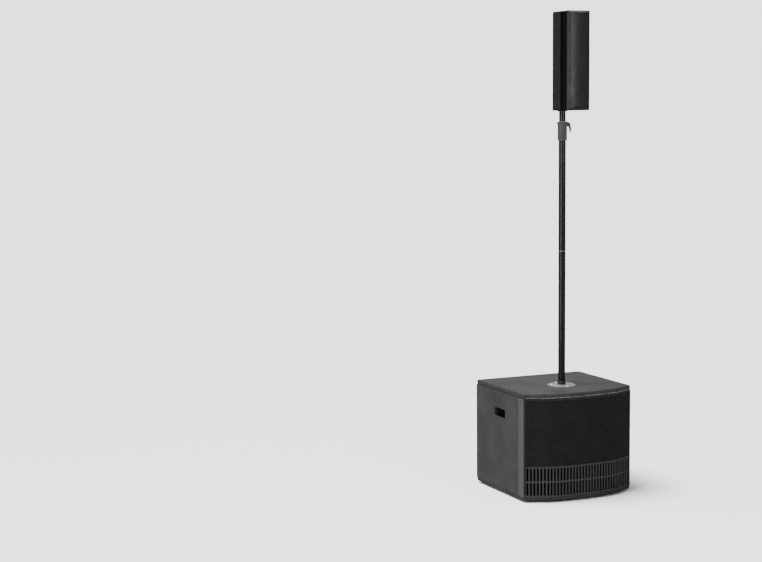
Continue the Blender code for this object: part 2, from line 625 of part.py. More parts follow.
def satellite_half_hollow():
    """Left half of the inner plan, front to rear."""
    w = SATELLITE_HALF_WIDTH - SHELL_WALL
    floor = -w + RECESS_DEPTH
    inner_back = SATELLITE_RECESS_BACK_Y + SHELL_WALL
    rear = (-SATELLITE_REAR_HALF_WIDTH + 0.003, SATELLITE_REAR_Y - SHELL_WALL)
    return [(floor, SATELLITE_FRAME_BACK_Y + GAP), (floor, inner_back), (-w, inner_back),
            (-w, SATELLITE_CORNER_Y - 0.003), rear]


def satellite_plan(points):
    """Mirror a left half and move the plan to the pole."""
    mirrored = [(-x, y) for x, y in reversed(points)]
    return [(x, y + POLE_OFFSET_Y) for x, y in points + mirrored]


def build_satellite_case():
    outline = satellite_plan(satellite_half_plan())
    inner = satellite_plan(satellite_half_hollow())
    z0, z1 = S_BOTTOM + CAP_THICKNESS + GAP, S_TOP - CAP_THICKNESS - GAP
    panel("satellite_shell", "XY", outline + list(reversed(inner)), [], z0, z1, "shell_plastic")
    drawn = shift_path(outline, -0.002, closed=True)
    loft("satellite_top_cap", [[(x, y, z) for x, y in ring] for ring, z in (
        (outline, S_TOP - CAP_THICKNESS), (outline, S_TOP - 0.002), (drawn, S_TOP))], "shell_plastic")
    hole = circle_2d(0.0, POLE_OFFSET_Y, 0.0230, 24)
    panel("satellite_bottom_cap", "XY", outline, [hole], S_BOTTOM, S_BOTTOM + CAP_THICKNESS, "shell_plastic")
    foot = (0.0, POLE_OFFSET_Y, 0.0)
    bore = UPPER_POLE_RADIUS + 0.0005
    ceiling = UPPER_TUBE_TOP_Z + 0.005 + GAP
    turned("satellite_pole_socket", "Z", foot, [
        (bore, ceiling), (bore, S_BOTTOM - 0.004), (0.0265, S_BOTTOM - 0.004), (0.0275, S_BOTTOM - 0.003),
        (0.0275, S_BOTTOM - GAP), (0.0225, S_BOTTOM - GAP), (0.0225, ceiling + 0.003)], 28, "black_plastic")


def build_satellite_front():
    """Baffle, slanted bezel and bowed grille."""
    w = SATELLITE_HALF_WIDTH
    back = SATELLITE_FRAME_BACK_Y + POLE_OFFSET_Y
    side_front = SATELLITE_BEZEL_Y + POLE_OFFSET_Y
    front = side_front - BEZEL_DEPTH
    middle = (S_BOTTOM + S_TOP) / 2
    border, wall = 0.012, 0.0035
    sizes = [
        (w, 0.0, 0.002, back), (w, 0.0, 0.002, side_front),
        (w - BEZEL_WIDTH, border, 0.0002, front), (w - BEZEL_WIDTH - 0.001, border + 0.001, 0.0002, front + 0.003),
        (w - wall, wall, 0.001, side_front + 0.002), (w - wall, wall, 0.001, back)]
    loops = [[(u, y, v) for u, v in rectangle_2d(0.0, middle, 2 * half, SATELLITE_HEIGHT - 2 * drop, chamfer)]
             for half, drop, chamfer, y in sizes]
    loft("satellite_bezel", loops, "frame_paint", closed=True)
    a = w - wall - GAP
    board = rectangle_2d(0.0, middle, 2 * a, SATELLITE_HEIGHT - 2 * wall - 2 * GAP, 0.002)
    holes = [circle_2d(0.0, z, 0.0445, 18) for z in DRIVER_ZS]
    holes.append(rectangle_2d(0.0, HORN_Z, 0.078, 0.078))
    panel("satellite_baffle", "XZ", board, holes, back - 0.004, back - GAP, "shell_plastic")
    build_satellite_grille(front, border)


def build_satellite_grille(front, border):
    """A thin steel sheet, bowed forward across its width, inside the bezel."""
    half = SATELLITE_HALF_WIDTH - BEZEL_WIDTH - 0.001 - GAP
    crown, steps, sheet = 0.0055, 10, 0.0012
    outer, inner = [], []
    for i in range(steps + 1):
        share = 2 * i / steps - 1
        y = front + 0.0025 - crown * (1 - share ** 2)
        outer.append((half * share, y))
        inner.append((half * share, y + sheet))
    z0, z1 = S_BOTTOM + border + 0.001 + GAP, S_TOP - border - 0.001 - GAP
    panel("satellite_grille", "XY", outer + inner[::-1], [], z0, z1, "powder_coat")


DRIVER_ZS = tuple(S_BOTTOM + z for z in (0.068, 0.173, 0.278))
HORN_Z = S_BOTTOM + 0.405


def build_satellite_drivers():
    face = SATELLITE_FRAME_BACK_Y + POLE_OFFSET_Y - 0.004
    for number, z in enumerate(DRIVER_ZS, start=1):
        centre = (0.0, face, z)
        turned(f"satellite_driver_{number}", "Y", centre, [
            (0.0500, -GAP), (0.0500, -0.0025), (0.0425, -0.0025), (0.0425, 0.003), (0.0240, 0.026),
            (0.0240, 0.030), (0.0175, 0.030), (0.0175, 0.046), (0.0360, 0.046), (0.0360, 0.0295),
            (0.0270, 0.0265), (0.0430, 0.006), (0.0430, -GAP)], 14, "iron", closed=True)
        turned(f"satellite_cone_{number}", "Y", centre, [
            (0.0080, 0.0080), (0.0160, 0.0120), (0.0340, -0.0010), (0.0380, -0.0025), (0.0418, -0.0010),
            (0.0418, 0.0005), (0.0380, -0.0010), (0.0340, 0.0010), (0.0165, 0.0160), (0.0165, 0.0280),
            (0.0150, 0.0280), (0.0150, 0.0140), (0.0080, 0.0095)], 14, "paper", origin=centre)
    outer = rectangle_2d(0.0, HORN_Z, 0.098, 0.098, 0.004)
    mouth = rectangle_2d(0.0, HORN_Z, 0.088, 0.088, 0.004)
    neck = rectangle_2d(0.0, HORN_Z, 0.076, 0.076, 0.004)
    throat = rectangle_2d(0.0, HORN_Z, 0.022, 0.022, 0.004)
    body = rectangle_2d(0.0, HORN_Z, 0.046, 0.046, 0.004)
    levels = [(body, 0.060), (body, 0.030), (neck, 0.004), (neck, -GAP), (outer, -GAP), (outer, -0.0025),
              (mouth, -0.0025), (throat, 0.032)]
    loops = [[(u, face + y, v) for u, v in ring] for ring, y in levels]
    loft("satellite_horn", loops, "black_plastic")


def build_satellite_rear():
    rear = SATELLITE_REAR_Y + POLE_OFFSET_Y
    z = S_BOTTOM + 0.16
    outline = rectangle_2d(0.0, z, 0.046, 0.100, 0.004)
    wells = [circle_2d(0.0, z + dz, 0.0105, 14) for dz in (-0.022, 0.022)]
    panel("satellite_terminal_plate", "XZ", outline, wells, rear + GAP, rear + 0.0025, "black_plastic")


# ---------------------------------------------------------------- assembly
def clear_scene():
    for item in list(bpy.data.objects):
        bpy.data.objects.remove(item, do_unlink=True)


def main():
    clear_scene()
    build_cabinet_boards()
    build_front()
    build_woofer()
    build_hardware()
    build_amplifier()
    build_controls()
    build_sockets()
    build_pole()
    build_clamp()
    build_satellite_case()
    build_satellite_front()
    build_satellite_drivers()
    build_satellite_rear()


main()
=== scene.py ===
"""Looks of a portable loudspeaker stack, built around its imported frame.

A subwoofer cabinet with a bowed perforated front carries a telescopic pole and a slim column satellite.
Every size is in metres. The grilles face -Y and +Z is up.
"""
import json
import logging
import math
from bisect import bisect_right
from collections.abc import Callable, Sequence
from dataclasses import dataclass, field
from enum import Enum

import bmesh
import bpy
from mathutils import Matrix, Vector


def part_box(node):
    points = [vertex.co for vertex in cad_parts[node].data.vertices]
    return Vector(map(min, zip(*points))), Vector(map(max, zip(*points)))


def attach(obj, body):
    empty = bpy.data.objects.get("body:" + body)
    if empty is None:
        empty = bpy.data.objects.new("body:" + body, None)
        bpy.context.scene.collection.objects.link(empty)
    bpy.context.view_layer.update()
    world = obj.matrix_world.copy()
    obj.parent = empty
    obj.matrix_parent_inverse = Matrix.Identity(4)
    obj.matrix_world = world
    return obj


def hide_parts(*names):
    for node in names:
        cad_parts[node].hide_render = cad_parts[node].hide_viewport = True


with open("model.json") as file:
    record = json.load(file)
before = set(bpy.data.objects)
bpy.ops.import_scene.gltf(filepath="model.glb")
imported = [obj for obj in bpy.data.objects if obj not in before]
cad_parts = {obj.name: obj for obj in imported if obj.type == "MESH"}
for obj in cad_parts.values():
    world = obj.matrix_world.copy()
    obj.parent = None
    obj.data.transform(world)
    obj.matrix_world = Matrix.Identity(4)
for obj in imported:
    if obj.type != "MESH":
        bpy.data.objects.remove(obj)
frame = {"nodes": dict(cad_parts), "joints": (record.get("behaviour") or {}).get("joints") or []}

LOG = logging.getLogger("loudspeaker")
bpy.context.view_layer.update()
Ring = list[tuple[float, float, float]]
Plan = list[tuple[float, float]]


# ---------------------------------------------------------------------- finishes
class Grain(Enum):
    """The kinds of surface grain that the finishes use."""

    PLAIN = "plain"
    STRUCTURE = "structure paint"
    ORANGE_PEEL = "powder coat"
    TURNED = "turned metal"
    PORES = "open foam"
    FIBRE = "pressed paper"


class NodeBoard:
    """A short way to add and link nodes in one tree."""

    def __init__(self, tree: bpy.types.NodeTree) -> None:
        """Keep the tree that the nodes go into.

        Args:
            tree: the material, world or Geometry Nodes tree.
        """
        self.tree = tree

    def add(self, kind: str, values: dict[str | int, object] | None = None,
            **settings: object) -> bpy.types.Node:
        """Add a node.

        Args:
            kind: Blender's type name of the node.
            values: values or sockets for its inputs, by name or number.
            settings: the node's own properties.

        Returns:
            The new node.
        """
        node = self.tree.nodes.new(kind)
        for key, value in settings.items():
            setattr(node, key, value)
        for key, value in (values or {}).items():
            if isinstance(value, bpy.types.NodeSocket):
                self.tree.links.new(value, node.inputs[key])
            else:
                node.inputs[key].default_value = value
        return node


@dataclass(frozen=True)
class Finish:
    """A painted, moulded or metal surface with its grain, mottling and gloss."""

    label: str
    colour: tuple[float, float, float]
    roughness: float
    metallic: float = 0.0
    grain: Grain = Grain.PLAIN
    grain_size: float = 0.0008
    grain_depth: float = 0.00004
    mottle: float = 0.12
    mottle_size: float = 0.09
    roughness_swing: float = 0.08
    specular: float = 0.5
    coat: float = 0.0
    ior: float = 1.5
    stretch: tuple[float, float, float] = (1.0, 1.0, 1.0)

    def material(self) -> bpy.types.Material:
        """Make this finish's material on first use.

        Returns:
            The material.
        """
        known = bpy.data.materials.get(self.label)
        if known is not None:
            return known
        material = bpy.data.materials.new(self.label)
        material.use_nodes = True
        material.diffuse_color = (*self.colour, 1.0)
        board = NodeBoard(material.node_tree)
        shader = material.node_tree.nodes["Principled BSDF"]
        shader.inputs["Metallic"].default_value = self.metallic
        shader.inputs["Specular IOR Level"].default_value = self.specular
        shader.inputs["Coat Weight"].default_value = self.coat
        shader.inputs["IOR"].default_value = self.ior
        place = board.add("ShaderNodeTexCoord").outputs["Object"]
        self._colour_nodes(board, shader, place)
        self._relief_nodes(board, shader, place)
        return material

    def _colour_nodes(self, board: NodeBoard, shader: bpy.types.Node, place: bpy.types.NodeSocket) -> None:
        """Mottle the colour and the roughness.

        Args:
            board: the material's tree.
            shader: its Principled shader.
            place: the Object coordinates.
        """
        cloud = board.add("ShaderNodeTexNoise", {
            "Vector": place, "Scale": 1 / self.mottle_size, "Detail": 3.0, "Roughness": 0.6})
        speck = board.add("ShaderNodeTexNoise", {
            "Vector": place, "Scale": 0.6 / self.grain_size, "Detail": 2.0, "Roughness": 0.7})
        both = board.add("ShaderNodeMath", {0: cloud.outputs["Fac"], 1: speck.outputs["Fac"]},
                         operation="ADD")
        share = board.add("ShaderNodeMapRange", {
            "Value": both.outputs[0], "From Min": 0.75, "From Max": 1.25})
        dark = tuple(c * (1 - self.mottle) for c in self.colour)
        light = tuple(min(1.0, c * (1 + self.mottle)) for c in self.colour)
        mix = self._mix(board, share.outputs["Result"], dark, light)
        board.tree.links.new(mix, shader.inputs["Base Color"])
        gloss = board.add("ShaderNodeMapRange", {
            "Value": cloud.outputs["Fac"], "From Min": 0.3, "From Max": 0.7,
            "To Min": max(0.02, self.roughness - self.roughness_swing),
            "To Max": min(1.0, self.roughness + self.roughness_swing)})
        board.tree.links.new(gloss.outputs["Result"], shader.inputs["Roughness"])

    @staticmethod
    def _mix(board: NodeBoard, share: bpy.types.NodeSocket, dark: tuple[float, ...],
             light: tuple[float, ...]) -> bpy.types.NodeSocket:
        """Blend two colours by a share.

        Args:
            board: the material's tree.
            share: 0 for dark, 1 for light.
            dark: the darker colour.
            light: the lighter colour.

        Returns:
            The blended colour.
        """
        node = board.add("ShaderNodeMix", data_type="RGBA")
        board.tree.links.new(share, node.inputs["Factor"])
        sockets = [socket for socket in node.inputs if socket.type == "RGBA"]
        sockets[0].default_value = (*dark, 1.0)
        sockets[1].default_value = (*light, 1.0)
        return next(socket for socket in node.outputs if socket.type == "RGBA")

    def _relief_nodes(self, board: NodeBoard, shader: bpy.types.Node, place: bpy.types.NodeSocket) -> None:
        """Raise the grain as a bump.

        Args:
            board: the material's tree.
            shader: its Principled shader.
            place: the Object coordinates.
        """
        where = board.add("ShaderNodeMapping", {"Vector": place, "Scale": self.stretch}).outputs["Vector"]
        scale = 1 / self.grain_size
        if self.grain is Grain.STRUCTURE:
            cells = board.add("ShaderNodeTexVoronoi", {"Vector": where, "Scale": scale}, feature="SMOOTH_F1")
            dust = board.add("ShaderNodeTexNoise", {"Vector": where, "Scale": scale * 1.7, "Detail": 4.0})
            height = board.add("ShaderNodeMath", {0: cells.outputs["Distance"], 1: dust.outputs["Fac"]},
                               operation="ADD").outputs[0]
        elif self.grain is Grain.PORES:
            height = board.add("ShaderNodeTexVoronoi", {"Vector": where, "Scale": scale}).outputs["Distance"]
        elif self.grain is Grain.TURNED:
            height = board.add("ShaderNodeTexWave", {
                "Vector": where, "Scale": scale / 6, "Distortion": 0.6, "Detail": 2.0},
                wave_type="RINGS", rings_direction="Z").outputs["Fac"]
        else:
            detail = 5.0 if self.grain is Grain.FIBRE else 2.0
            height = board.add("ShaderNodeTexNoise", {
                "Vector": where, "Scale": scale, "Detail": detail, "Roughness": 0.55}).outputs["Fac"]
        bump = board.add("ShaderNodeBump", {"Height": height, "Distance": self.grain_depth, "Strength": 0.8})
        board.tree.links.new(bump.outputs["Normal"], shader.inputs["Normal"])


STRUCTURE_PAINT = Finish("structure_paint", (0.028, 0.028, 0.0285), 0.6, grain=Grain.STRUCTURE, ior=1.15,
                         grain_size=0.0024, grain_depth=0.0004, mottle=0.22, mottle_size=0.16)
# Lighter than the structure paint for the top board alone: painted sheen.
SHEEN_TOP_PAINT = Finish("worn_top_paint", (0.034, 0.034, 0.035), 0.58, grain=Grain.STRUCTURE, ior=1.2,
                   grain_size=0.0024, grain_depth=0.0004, mottle=0.3, mottle_size=0.16)
# Darker tone for the boards' upright and rounded edge faces: painted shade.
SHADED_EDGE_PAINT = Finish("board_edge_paint", (0.024, 0.024, 0.025), 0.62, grain=Grain.STRUCTURE, ior=1.15,
                    grain_size=0.003, grain_depth=0.0005, mottle=0.4, mottle_size=0.03)
# Light speckled paint for the top board's downward front lip: painted highlight.
HIGHLIGHT_EDGE_PAINT = Finish("rubbed_edge_paint", (0.085, 0.085, 0.088), 0.45, grain=Grain.STRUCTURE, ior=1.3,
                      grain_size=0.003, grain_depth=0.0005, mottle=0.7, mottle_size=0.02)
BOARD_EDGE = Finish("stained_board", (0.035, 0.030, 0.026), 0.8, grain=Grain.FIBRE, grain_size=0.004,
                    grain_depth=0.0002, stretch=(1.0, 1.0, 6.0), ior=1.2)
FRAME_PAINT = Finish("frame_powder_coat", (0.040, 0.040, 0.041), 0.42, grain=Grain.ORANGE_PEEL, ior=1.4,
                     grain_size=0.0016, grain_depth=0.00006, mottle=0.08)
GRID_PAINT = Finish("port_grid_coat", (0.028, 0.028, 0.029), 0.5, grain=Grain.ORANGE_PEEL, ior=1.2,
                    grain_size=0.0016, grain_depth=0.00006, mottle=0.1)
GRILLE_PAINT = Finish("grille_powder_coat", (0.014, 0.014, 0.015), 0.45, grain=Grain.ORANGE_PEEL, ior=1.2,
                      grain_size=0.001, grain_depth=0.00004, mottle=0.15)
SATELLITE_GRILLE_PAINT = Finish("satellite_grille_coat", (0.012, 0.012, 0.0125), 0.33, ior=1.45,
                                grain=Grain.ORANGE_PEEL, grain_size=0.001, grain_depth=0.00003, mottle=0.08)
FOAM = Finish("acoustic_foam", (0.004, 0.004, 0.004), 0.97, grain=Grain.PORES, grain_size=0.0016,
              grain_depth=0.0008, specular=0.03, ior=1.1)
RUBBER = Finish("black_rubber", (0.012, 0.012, 0.012), 0.75, grain_size=0.0012, specular=0.2)
MOULDED = Finish("moulded_plastic", (0.012, 0.012, 0.013), 0.48, grain=Grain.ORANGE_PEEL, grain_size=0.0009,
                 grain_depth=0.00005, specular=0.25)
SHELL_PLASTIC = Finish("grained_shell", (0.010, 0.010, 0.0105), 0.55, grain=Grain.STRUCTURE, ior=1.15,
                       grain_size=0.0014, grain_depth=0.00018, mottle=0.16)
# Near-black for the satellite's side channels and socket wells: painted shade in the recesses.
RECESS_SHADE_PLASTIC = Finish("channel_plastic", (0.004, 0.004, 0.004), 0.6, grain=Grain.ORANGE_PEEL, ior=1.1)
BEZEL_PAINT = Finish("satellite_bezel_coat", (0.010, 0.010, 0.0105), 0.4, grain=Grain.ORANGE_PEEL,
                     grain_size=0.0012, grain_depth=0.00004, mottle=0.08, ior=1.3)
TUBE_PAINT = Finish("tube_powder_coat", (0.003, 0.003, 0.0033), 0.2, grain=Grain.ORANGE_PEEL,
                    grain_size=0.0012, grain_depth=0.00003, mottle=0.1, ior=1.45)
CLAMP_NYLON = Finish("glass_filled_nylon", (0.036, 0.036, 0.037), 0.36, grain=Grain.STRUCTURE,
                     grain_size=0.0012, grain_depth=0.0001, mottle=0.12, ior=1.4)
NATURAL_NYLON = Finish("natural_nylon", (0.45, 0.45, 0.43), 0.5)
FLANGE_METAL = Finish("turned_aluminium", (0.52, 0.52, 0.53), 0.34, metallic=0.9, grain=Grain.TURNED,
                      grain_size=0.0012, grain_depth=0.00003, mottle=0.05)
ZINC = Finish("zinc_plated_steel", (0.50, 0.50, 0.51), 0.3, metallic=1.0, grain_size=0.0006)
BLACK_SCREW = Finish("blackened_steel", (0.020, 0.020, 0.021), 0.35, metallic=0.4, grain_size=0.0006)
ANODISED = Finish("black_anodised", (0.014, 0.014, 0.015), 0.38, metallic=0.2, grain=Grain.ORANGE_PEEL,
                  grain_size=0.0008, grain_depth=0.00002, specular=0.35)
CONE_PAPER = Finish("cone_paper", (0.012, 0.012, 0.012), 0.85, grain=Grain.FIBRE, grain_size=0.003,
                    grain_depth=0.0003, specular=0.1)
CAST_FRAME = Finish("cast_basket", (0.020, 0.020, 0.021), 0.55, grain=Grain.STRUCTURE, grain_size=0.0015,
                    grain_depth=0.0001, specular=0.3)
MAGNET = Finish("magnet_steel", (0.30, 0.30, 0.31), 0.4, metallic=0.9)
RESIST = Finish("solder_resist", (0.02, 0.10, 0.05), 0.45, grain_size=0.003)
WINDING = Finish("copper_winding", (0.36, 0.17, 0.08), 0.45, metallic=0.6, grain=Grain.FIBRE,
                 grain_size=0.002, grain_depth=0.0003)
POINTER_WHITE = Finish("pointer_white", (0.70, 0.70, 0.68), 0.5)
LED_GREEN = Finish("green_lens", (0.05, 0.45, 0.12), 0.2, coat=0.6)
CONTACT_BRASS = Finish("contact_brass", (0.62, 0.48, 0.20), 0.3, metallic=1.0)


# ---------------------------------------------------------------------- mesh tools
def new_item(name: str, bm: bmesh.types.BMesh, finish: Finish, sharp_deg: float = 32.0) -> bpy.types.Object:
    """Turn a closed bmesh into a smooth-shaded object at the origin.

    Args:
        name: the piece's name.
        bm: its surface, in the shared frame; it is freed here.
        finish: its finish.
        sharp_deg: edges that turn more than this stay sharp.

    Returns:
        The new object.
    """
    bmesh.ops.recalc_face_normals(bm, faces=bm.faces[:])
    mesh = bpy.data.meshes.new(name)
    bm.to_mesh(mesh)
    bm.free()
    mesh.materials.append(finish.material())
    mesh.shade_smooth()
    mesh.set_sharp_from_angle(angle=math.radians(sharp_deg))
    item = bpy.data.objects.new(name, mesh)
    bpy.context.scene.collection.objects.link(item)
    return item


def skin(bm: bmesh.types.BMesh, loops: Sequence[Ring], closed: bool = False) -> None:
    """Skin a run of equal loops of points.

    Args:
        bm: where the faces go.
        loops: equally long rings of points.
        closed: join the last ring to the first instead of capping both.
    """
    rings = [[bm.verts.new(point) for point in loop] for loop in loops]
    pairs = list(zip(rings, rings[1:]))
    if closed:
        pairs.append((rings[-1], rings[0]))
    for lower, upper in pairs:
        for i in range(len(lower)):
            j = (i + 1) % len(lower)
            bm.faces.new((lower[i], lower[j], upper[j], upper[i]))
    if not closed:
        bm.faces.new(rings[0][::-1])
        bm.faces.new(rings[-1])


def loft(name: str, loops: Sequence[Ring], finish: Finish, closed: bool = False) -> bpy.types.Object:
    """Make one piece from a skinned run of loops.

    Args:
        name: the piece's name.
        loops: equally long rings of points.
        finish: its finish.
        closed: whether the run closes on itself.

    Returns:
        The new object.
    """
    bm = bmesh.new()
    skin(bm, loops, closed)
    return new_item(name, bm, finish)


PLACERS: dict[str, Callable[[float, float, float], tuple[float, float, float]]] = {
    "X": lambda u, v, w: (w, u, v),
    "Y": lambda u, v, w: (u, w, v),
    "Z": lambda u, v, w: (u, v, w),
}


def ring_loop(axis: str, centre: Sequence[float], radius: float, along: float, segments: int) -> Ring:
    """Points of a circle round an axis.

    Args:
        axis: the letter of the axis.
        centre: a point on it.
        radius: the circle's radius.
        along: how far along the axis it lies.
        segments: its number of points.

    Returns:
        The points.
    """
    place = PLACERS[axis]
    points = []
    for i in range(segments):
        angle = 2 * math.pi * i / segments
        offset = place(radius * math.cos(angle), radius * math.sin(angle), along)
        points.append(tuple(c + o for c, o in zip(centre, offset)))
    return points


def turned(name: str, axis: str, centre: Sequence[float], profile: Sequence[tuple[float, float]],
           finish: Finish, segments: int = 64, closed: bool = False) -> bpy.types.Object:
    """Make a turned piece.

    Args:
        name: the piece's name.
        axis: the letter of its axis.
        centre: a point on the axis.
        profile: pairs of radius and distance along the axis.
        finish: its finish.
        segments: how many sides approximate the circle.
        closed: whether the profile closes on itself, as a ring's does.

    Returns:
        The new object.
    """
    return loft(name, [ring_loop(axis, centre, r, a, segments) for r, a in profile], finish, closed)


def circle_plan(u: float, v: float, radius: float, segments: int = 32) -> Plan:
    """A circle as a plan.

    Args:
        u: its centre across.
        v: its centre up.
        radius: its radius.
        segments: its number of points.

    Returns:
        The plan.
    """
    angles = [2 * math.pi * i / segments for i in range(segments)]
    return [(u + radius * math.cos(angle), v + radius * math.sin(angle)) for angle in angles]


def rounded(points: Plan, radius: float | Sequence[float], steps: int = 5) -> Plan:
    """Round a closed plan's corners with short curves.

    Args:
        points: the plan's corners.
        radius: how far from each corner the curve starts, one value or one for each corner.
        steps: how many pieces each curve has.

    Returns:
        The rounded plan.
    """
    count = len(points)
    radii = [radius] * count if isinstance(radius, (int, float)) else list(radius)
    result: Plan = []
    for i in range(count):
        here, before, after = Vector(points[i]), Vector(points[i - 1]), Vector(points[(i + 1) % count])
        if radii[i] == 0:
            result.append(tuple(here))
            continue
        reach_in = min(radii[i], (before - here).length * 0.45)
        reach_out = min(radii[i], (after - here).length * 0.45)
        start = here + (before - here).normalized() * reach_in
        end = here + (after - here).normalized() * reach_out
        for k in range(steps + 1):
            t = k / steps
            result.append(tuple(start * (1 - t) ** 2 + here * 2 * t * (1 - t) + end * t ** 2))
    return result


def rectangle(u: float, v: float, width: float, height: float, radius: float = 0.0, steps: int = 5) -> Plan:
    """A rectangle about a centre, with rounded corners.

    Args:
        u: its centre across.
        v: its centre up.
        width: its width.
        height: its height.
        radius: where the corners' curves start, 0 for sharp ones.
        steps: pieces in each curve.

    Returns:
        The plan.
    """
    a, b = width / 2, height / 2
    corners = [(u - a, v - b), (u + a, v - b), (u + a, v + b), (u - a, v + b)]
    return rounded(corners, radius, steps) if radius else corners


def plate(name: str, axis: str, outline: Plan, holes: Sequence[Plan], w0: float, w1: float, finish: Finish,
          bevel: float = 0.0) -> bpy.types.Object:
    """Make a flat plate with through holes.

    Args:
        name: the piece's name.
        axis: the letter of the plate's normal.
        outline: its outer plan.
        holes: the plans of its holes.
        w0: where it starts along the normal.
        w1: where it ends.
        finish: its finish.
        bevel: width of its rounded edges.

    Returns:
        The new object.
    """
    place = PLACERS[axis]
    bm = bmesh.new()
    loops = [[bm.verts.new(place(u, v, w0)) for u, v in loop] for loop in [outline, *holes]]
    edges = [bm.edges.new((ring[i - 1], ring[i])) for ring in loops for i in range(len(ring))]
    bmesh.ops.triangle_fill(bm, use_beauty=True, edges=edges, normal=place(0.0, 0.0, 1.0))
    lift = Vector(place(0.0, 0.0, w1 - w0))
    copies = {vert: bm.verts.new(vert.co + lift) for vert in list(bm.verts)}
    for face in list(bm.faces):
        bm.faces.new([copies[vert] for vert in reversed(face.verts)])
    for ring in loops:
        for i in range(len(ring)):
            bm.faces.new((ring[i - 1], ring[i], copies[ring[i]], copies[ring[i - 1]]))
    item = new_item(name, bm, finish)
    return bevelled(item, bevel) if bevel else item


def bevelled(item: bpy.types.Object, width: float, segments: int = 2) -> bpy.types.Object:
    """Round an object's sharp edges for good.

    Args:
        item: the object, which is used up.
        width: the bevel's width.
        segments: its number of steps.

    Returns:
        The rounded object.
    """
    bevel = item.modifiers.new("edge", "BEVEL")
    bevel.width = width
    bevel.segments = segments
    bevel.limit_method = "ANGLE"
    bevel.angle_limit = math.radians(40)
    bevel.harden_normals = True
    return baked(item)


def baked(item: bpy.types.Object) -> bpy.types.Object:
    """Replace an object by its evaluated mesh, without modifiers, at the origin.

    Args:
        item: the object, which is used up.

    Returns:
        The plain object.
    """
    name = item.name
    evaluated = item.evaluated_get(bpy.context.evaluated_depsgraph_get())
    mesh = bpy.data.meshes.new_from_object(evaluated)
    bpy.data.objects.remove(item, do_unlink=True)
    mesh.name = name
    result = bpy.data.objects.new(name, mesh)
    bpy.context.scene.collection.objects.link(result)
    return result


def joined(name: str, items: Sequence[bpy.types.Object]) -> bpy.types.Object:
    """Join several plain meshes at the origin into one piece, keeping their materials.

    Args:
        name: the piece's name.
        items: the objects, which are used up.

    Returns:
        The one piece.
    """
    bm = bmesh.new()
    materials: list[bpy.types.Material] = []
    for item in items:
        slots = []
        for material in item.data.materials:
            if material not in materials:
                materials.append(material)
            slots.append(materials.index(material))
        start = len(bm.faces)
        bm.from_mesh(item.data)
        bm.faces.ensure_lookup_table()
        for face in bm.faces[start:]:
            face.material_index = slots[min(face.material_index, len(slots) - 1)]
    mesh = bpy.data.meshes.new(name)
    bm.to_mesh(mesh)
    bm.free()
    for material in materials:
        mesh.materials.append(material)
    for item in items:
        bpy.data.objects.remove(item, do_unlink=True)
    result = bpy.data.objects.new(name, mesh)
    bpy.context.scene.collection.objects.link(result)
    return result


def settle(item: bpy.types.Object, body: str, slot: str, *stands_for: str) -> None:
    """Ride a finished piece on its body, and report it.

    Args:
        item: the piece.
        body: the body that carries it.
        slot: its material slot's name; not used.
        stands_for: the frame nodes that it replaces.
    """
    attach(item, body)
    if stands_for:
        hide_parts(*stands_for)
    LOG.info("%s rides on %s, %d faces", item.name, body, len(item.data.polygons))


def middle_of(node: str) -> tuple[float, float, float]:
    """Find the middle of a frame node's box.

    Args:
        node: the node's name.

    Returns:
        The middle.
    """
    return tuple((low + high) / 2 for low, high in zip(*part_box(node)))


# ---------------------------------------------------------------------- node recipes
class Recipe:
    """A Geometry Nodes tree with named inputs, and how it is applied."""

    def __init__(self, name: str, inputs: dict[str, str]) -> None:
        """Start a tree.

        Args:
            name: the tree's name.
            inputs: socket types by input name.
        """
        self.tree = bpy.data.node_groups.new(name, "GeometryNodeTree")
        self.tree.interface.new_socket("Geometry", in_out="INPUT", socket_type="NodeSocketGeometry")
        for label, kind in inputs.items():
            self.tree.interface.new_socket(label, in_out="INPUT", socket_type=kind)
        self.tree.interface.new_socket("Geometry", in_out="OUTPUT", socket_type="NodeSocketGeometry")
        self.board = NodeBoard(self.tree)
        self.given = self.board.add("NodeGroupInput").outputs
        self.result = self.board.add("NodeGroupOutput")

    def finish_with(self, geometry: bpy.types.NodeSocket, weld: float = 0.0) -> None:
        """End the tree in Realize Instances, an optional weld and Set Material.

        Args:
            geometry: what the tree has made.
            weld: the distance within which vertices merge, 0 for none.
        """
        last = self.board.add("GeometryNodeRealizeInstances", {"Geometry": geometry}).outputs[0]
        if weld:
            last = self.board.add("GeometryNodeMergeByDistance", {
                "Geometry": last, "Distance": weld}).outputs[0]
        last = self.board.add("GeometryNodeSetMaterial", {
            "Geometry": last, "Material": self.given["Material"]}).outputs[0]
        self.board.tree.links.new(last, self.result.inputs["Geometry"])

    def run(self, name: str, values: dict[str, object],
            points: Sequence[Sequence[float]] = ()) -> bpy.types.Object:
        """Run the tree on a set of points and return the result as a plain object.

        Args:
            name: the piece's name.
            values: the inputs' values by name.
            points: vertices that the tree starts from.

        Returns:
            The new object, without modifiers.
        """
        mesh = bpy.data.meshes.new(name)
        mesh.from_pydata([tuple(point) for point in points], [], [])
        item = bpy.data.objects.new(name, mesh)
        bpy.context.scene.collection.objects.link(item)
        modifier = item.modifiers.new(self.tree.name, "NODES")
        modifier.node_group = self.tree
        for socket in self.tree.interface.items_tree:
            if socket.in_out == "INPUT" and socket.name in values:
                modifier[socket.identifier] = values[socket.name]
        return baked(item)


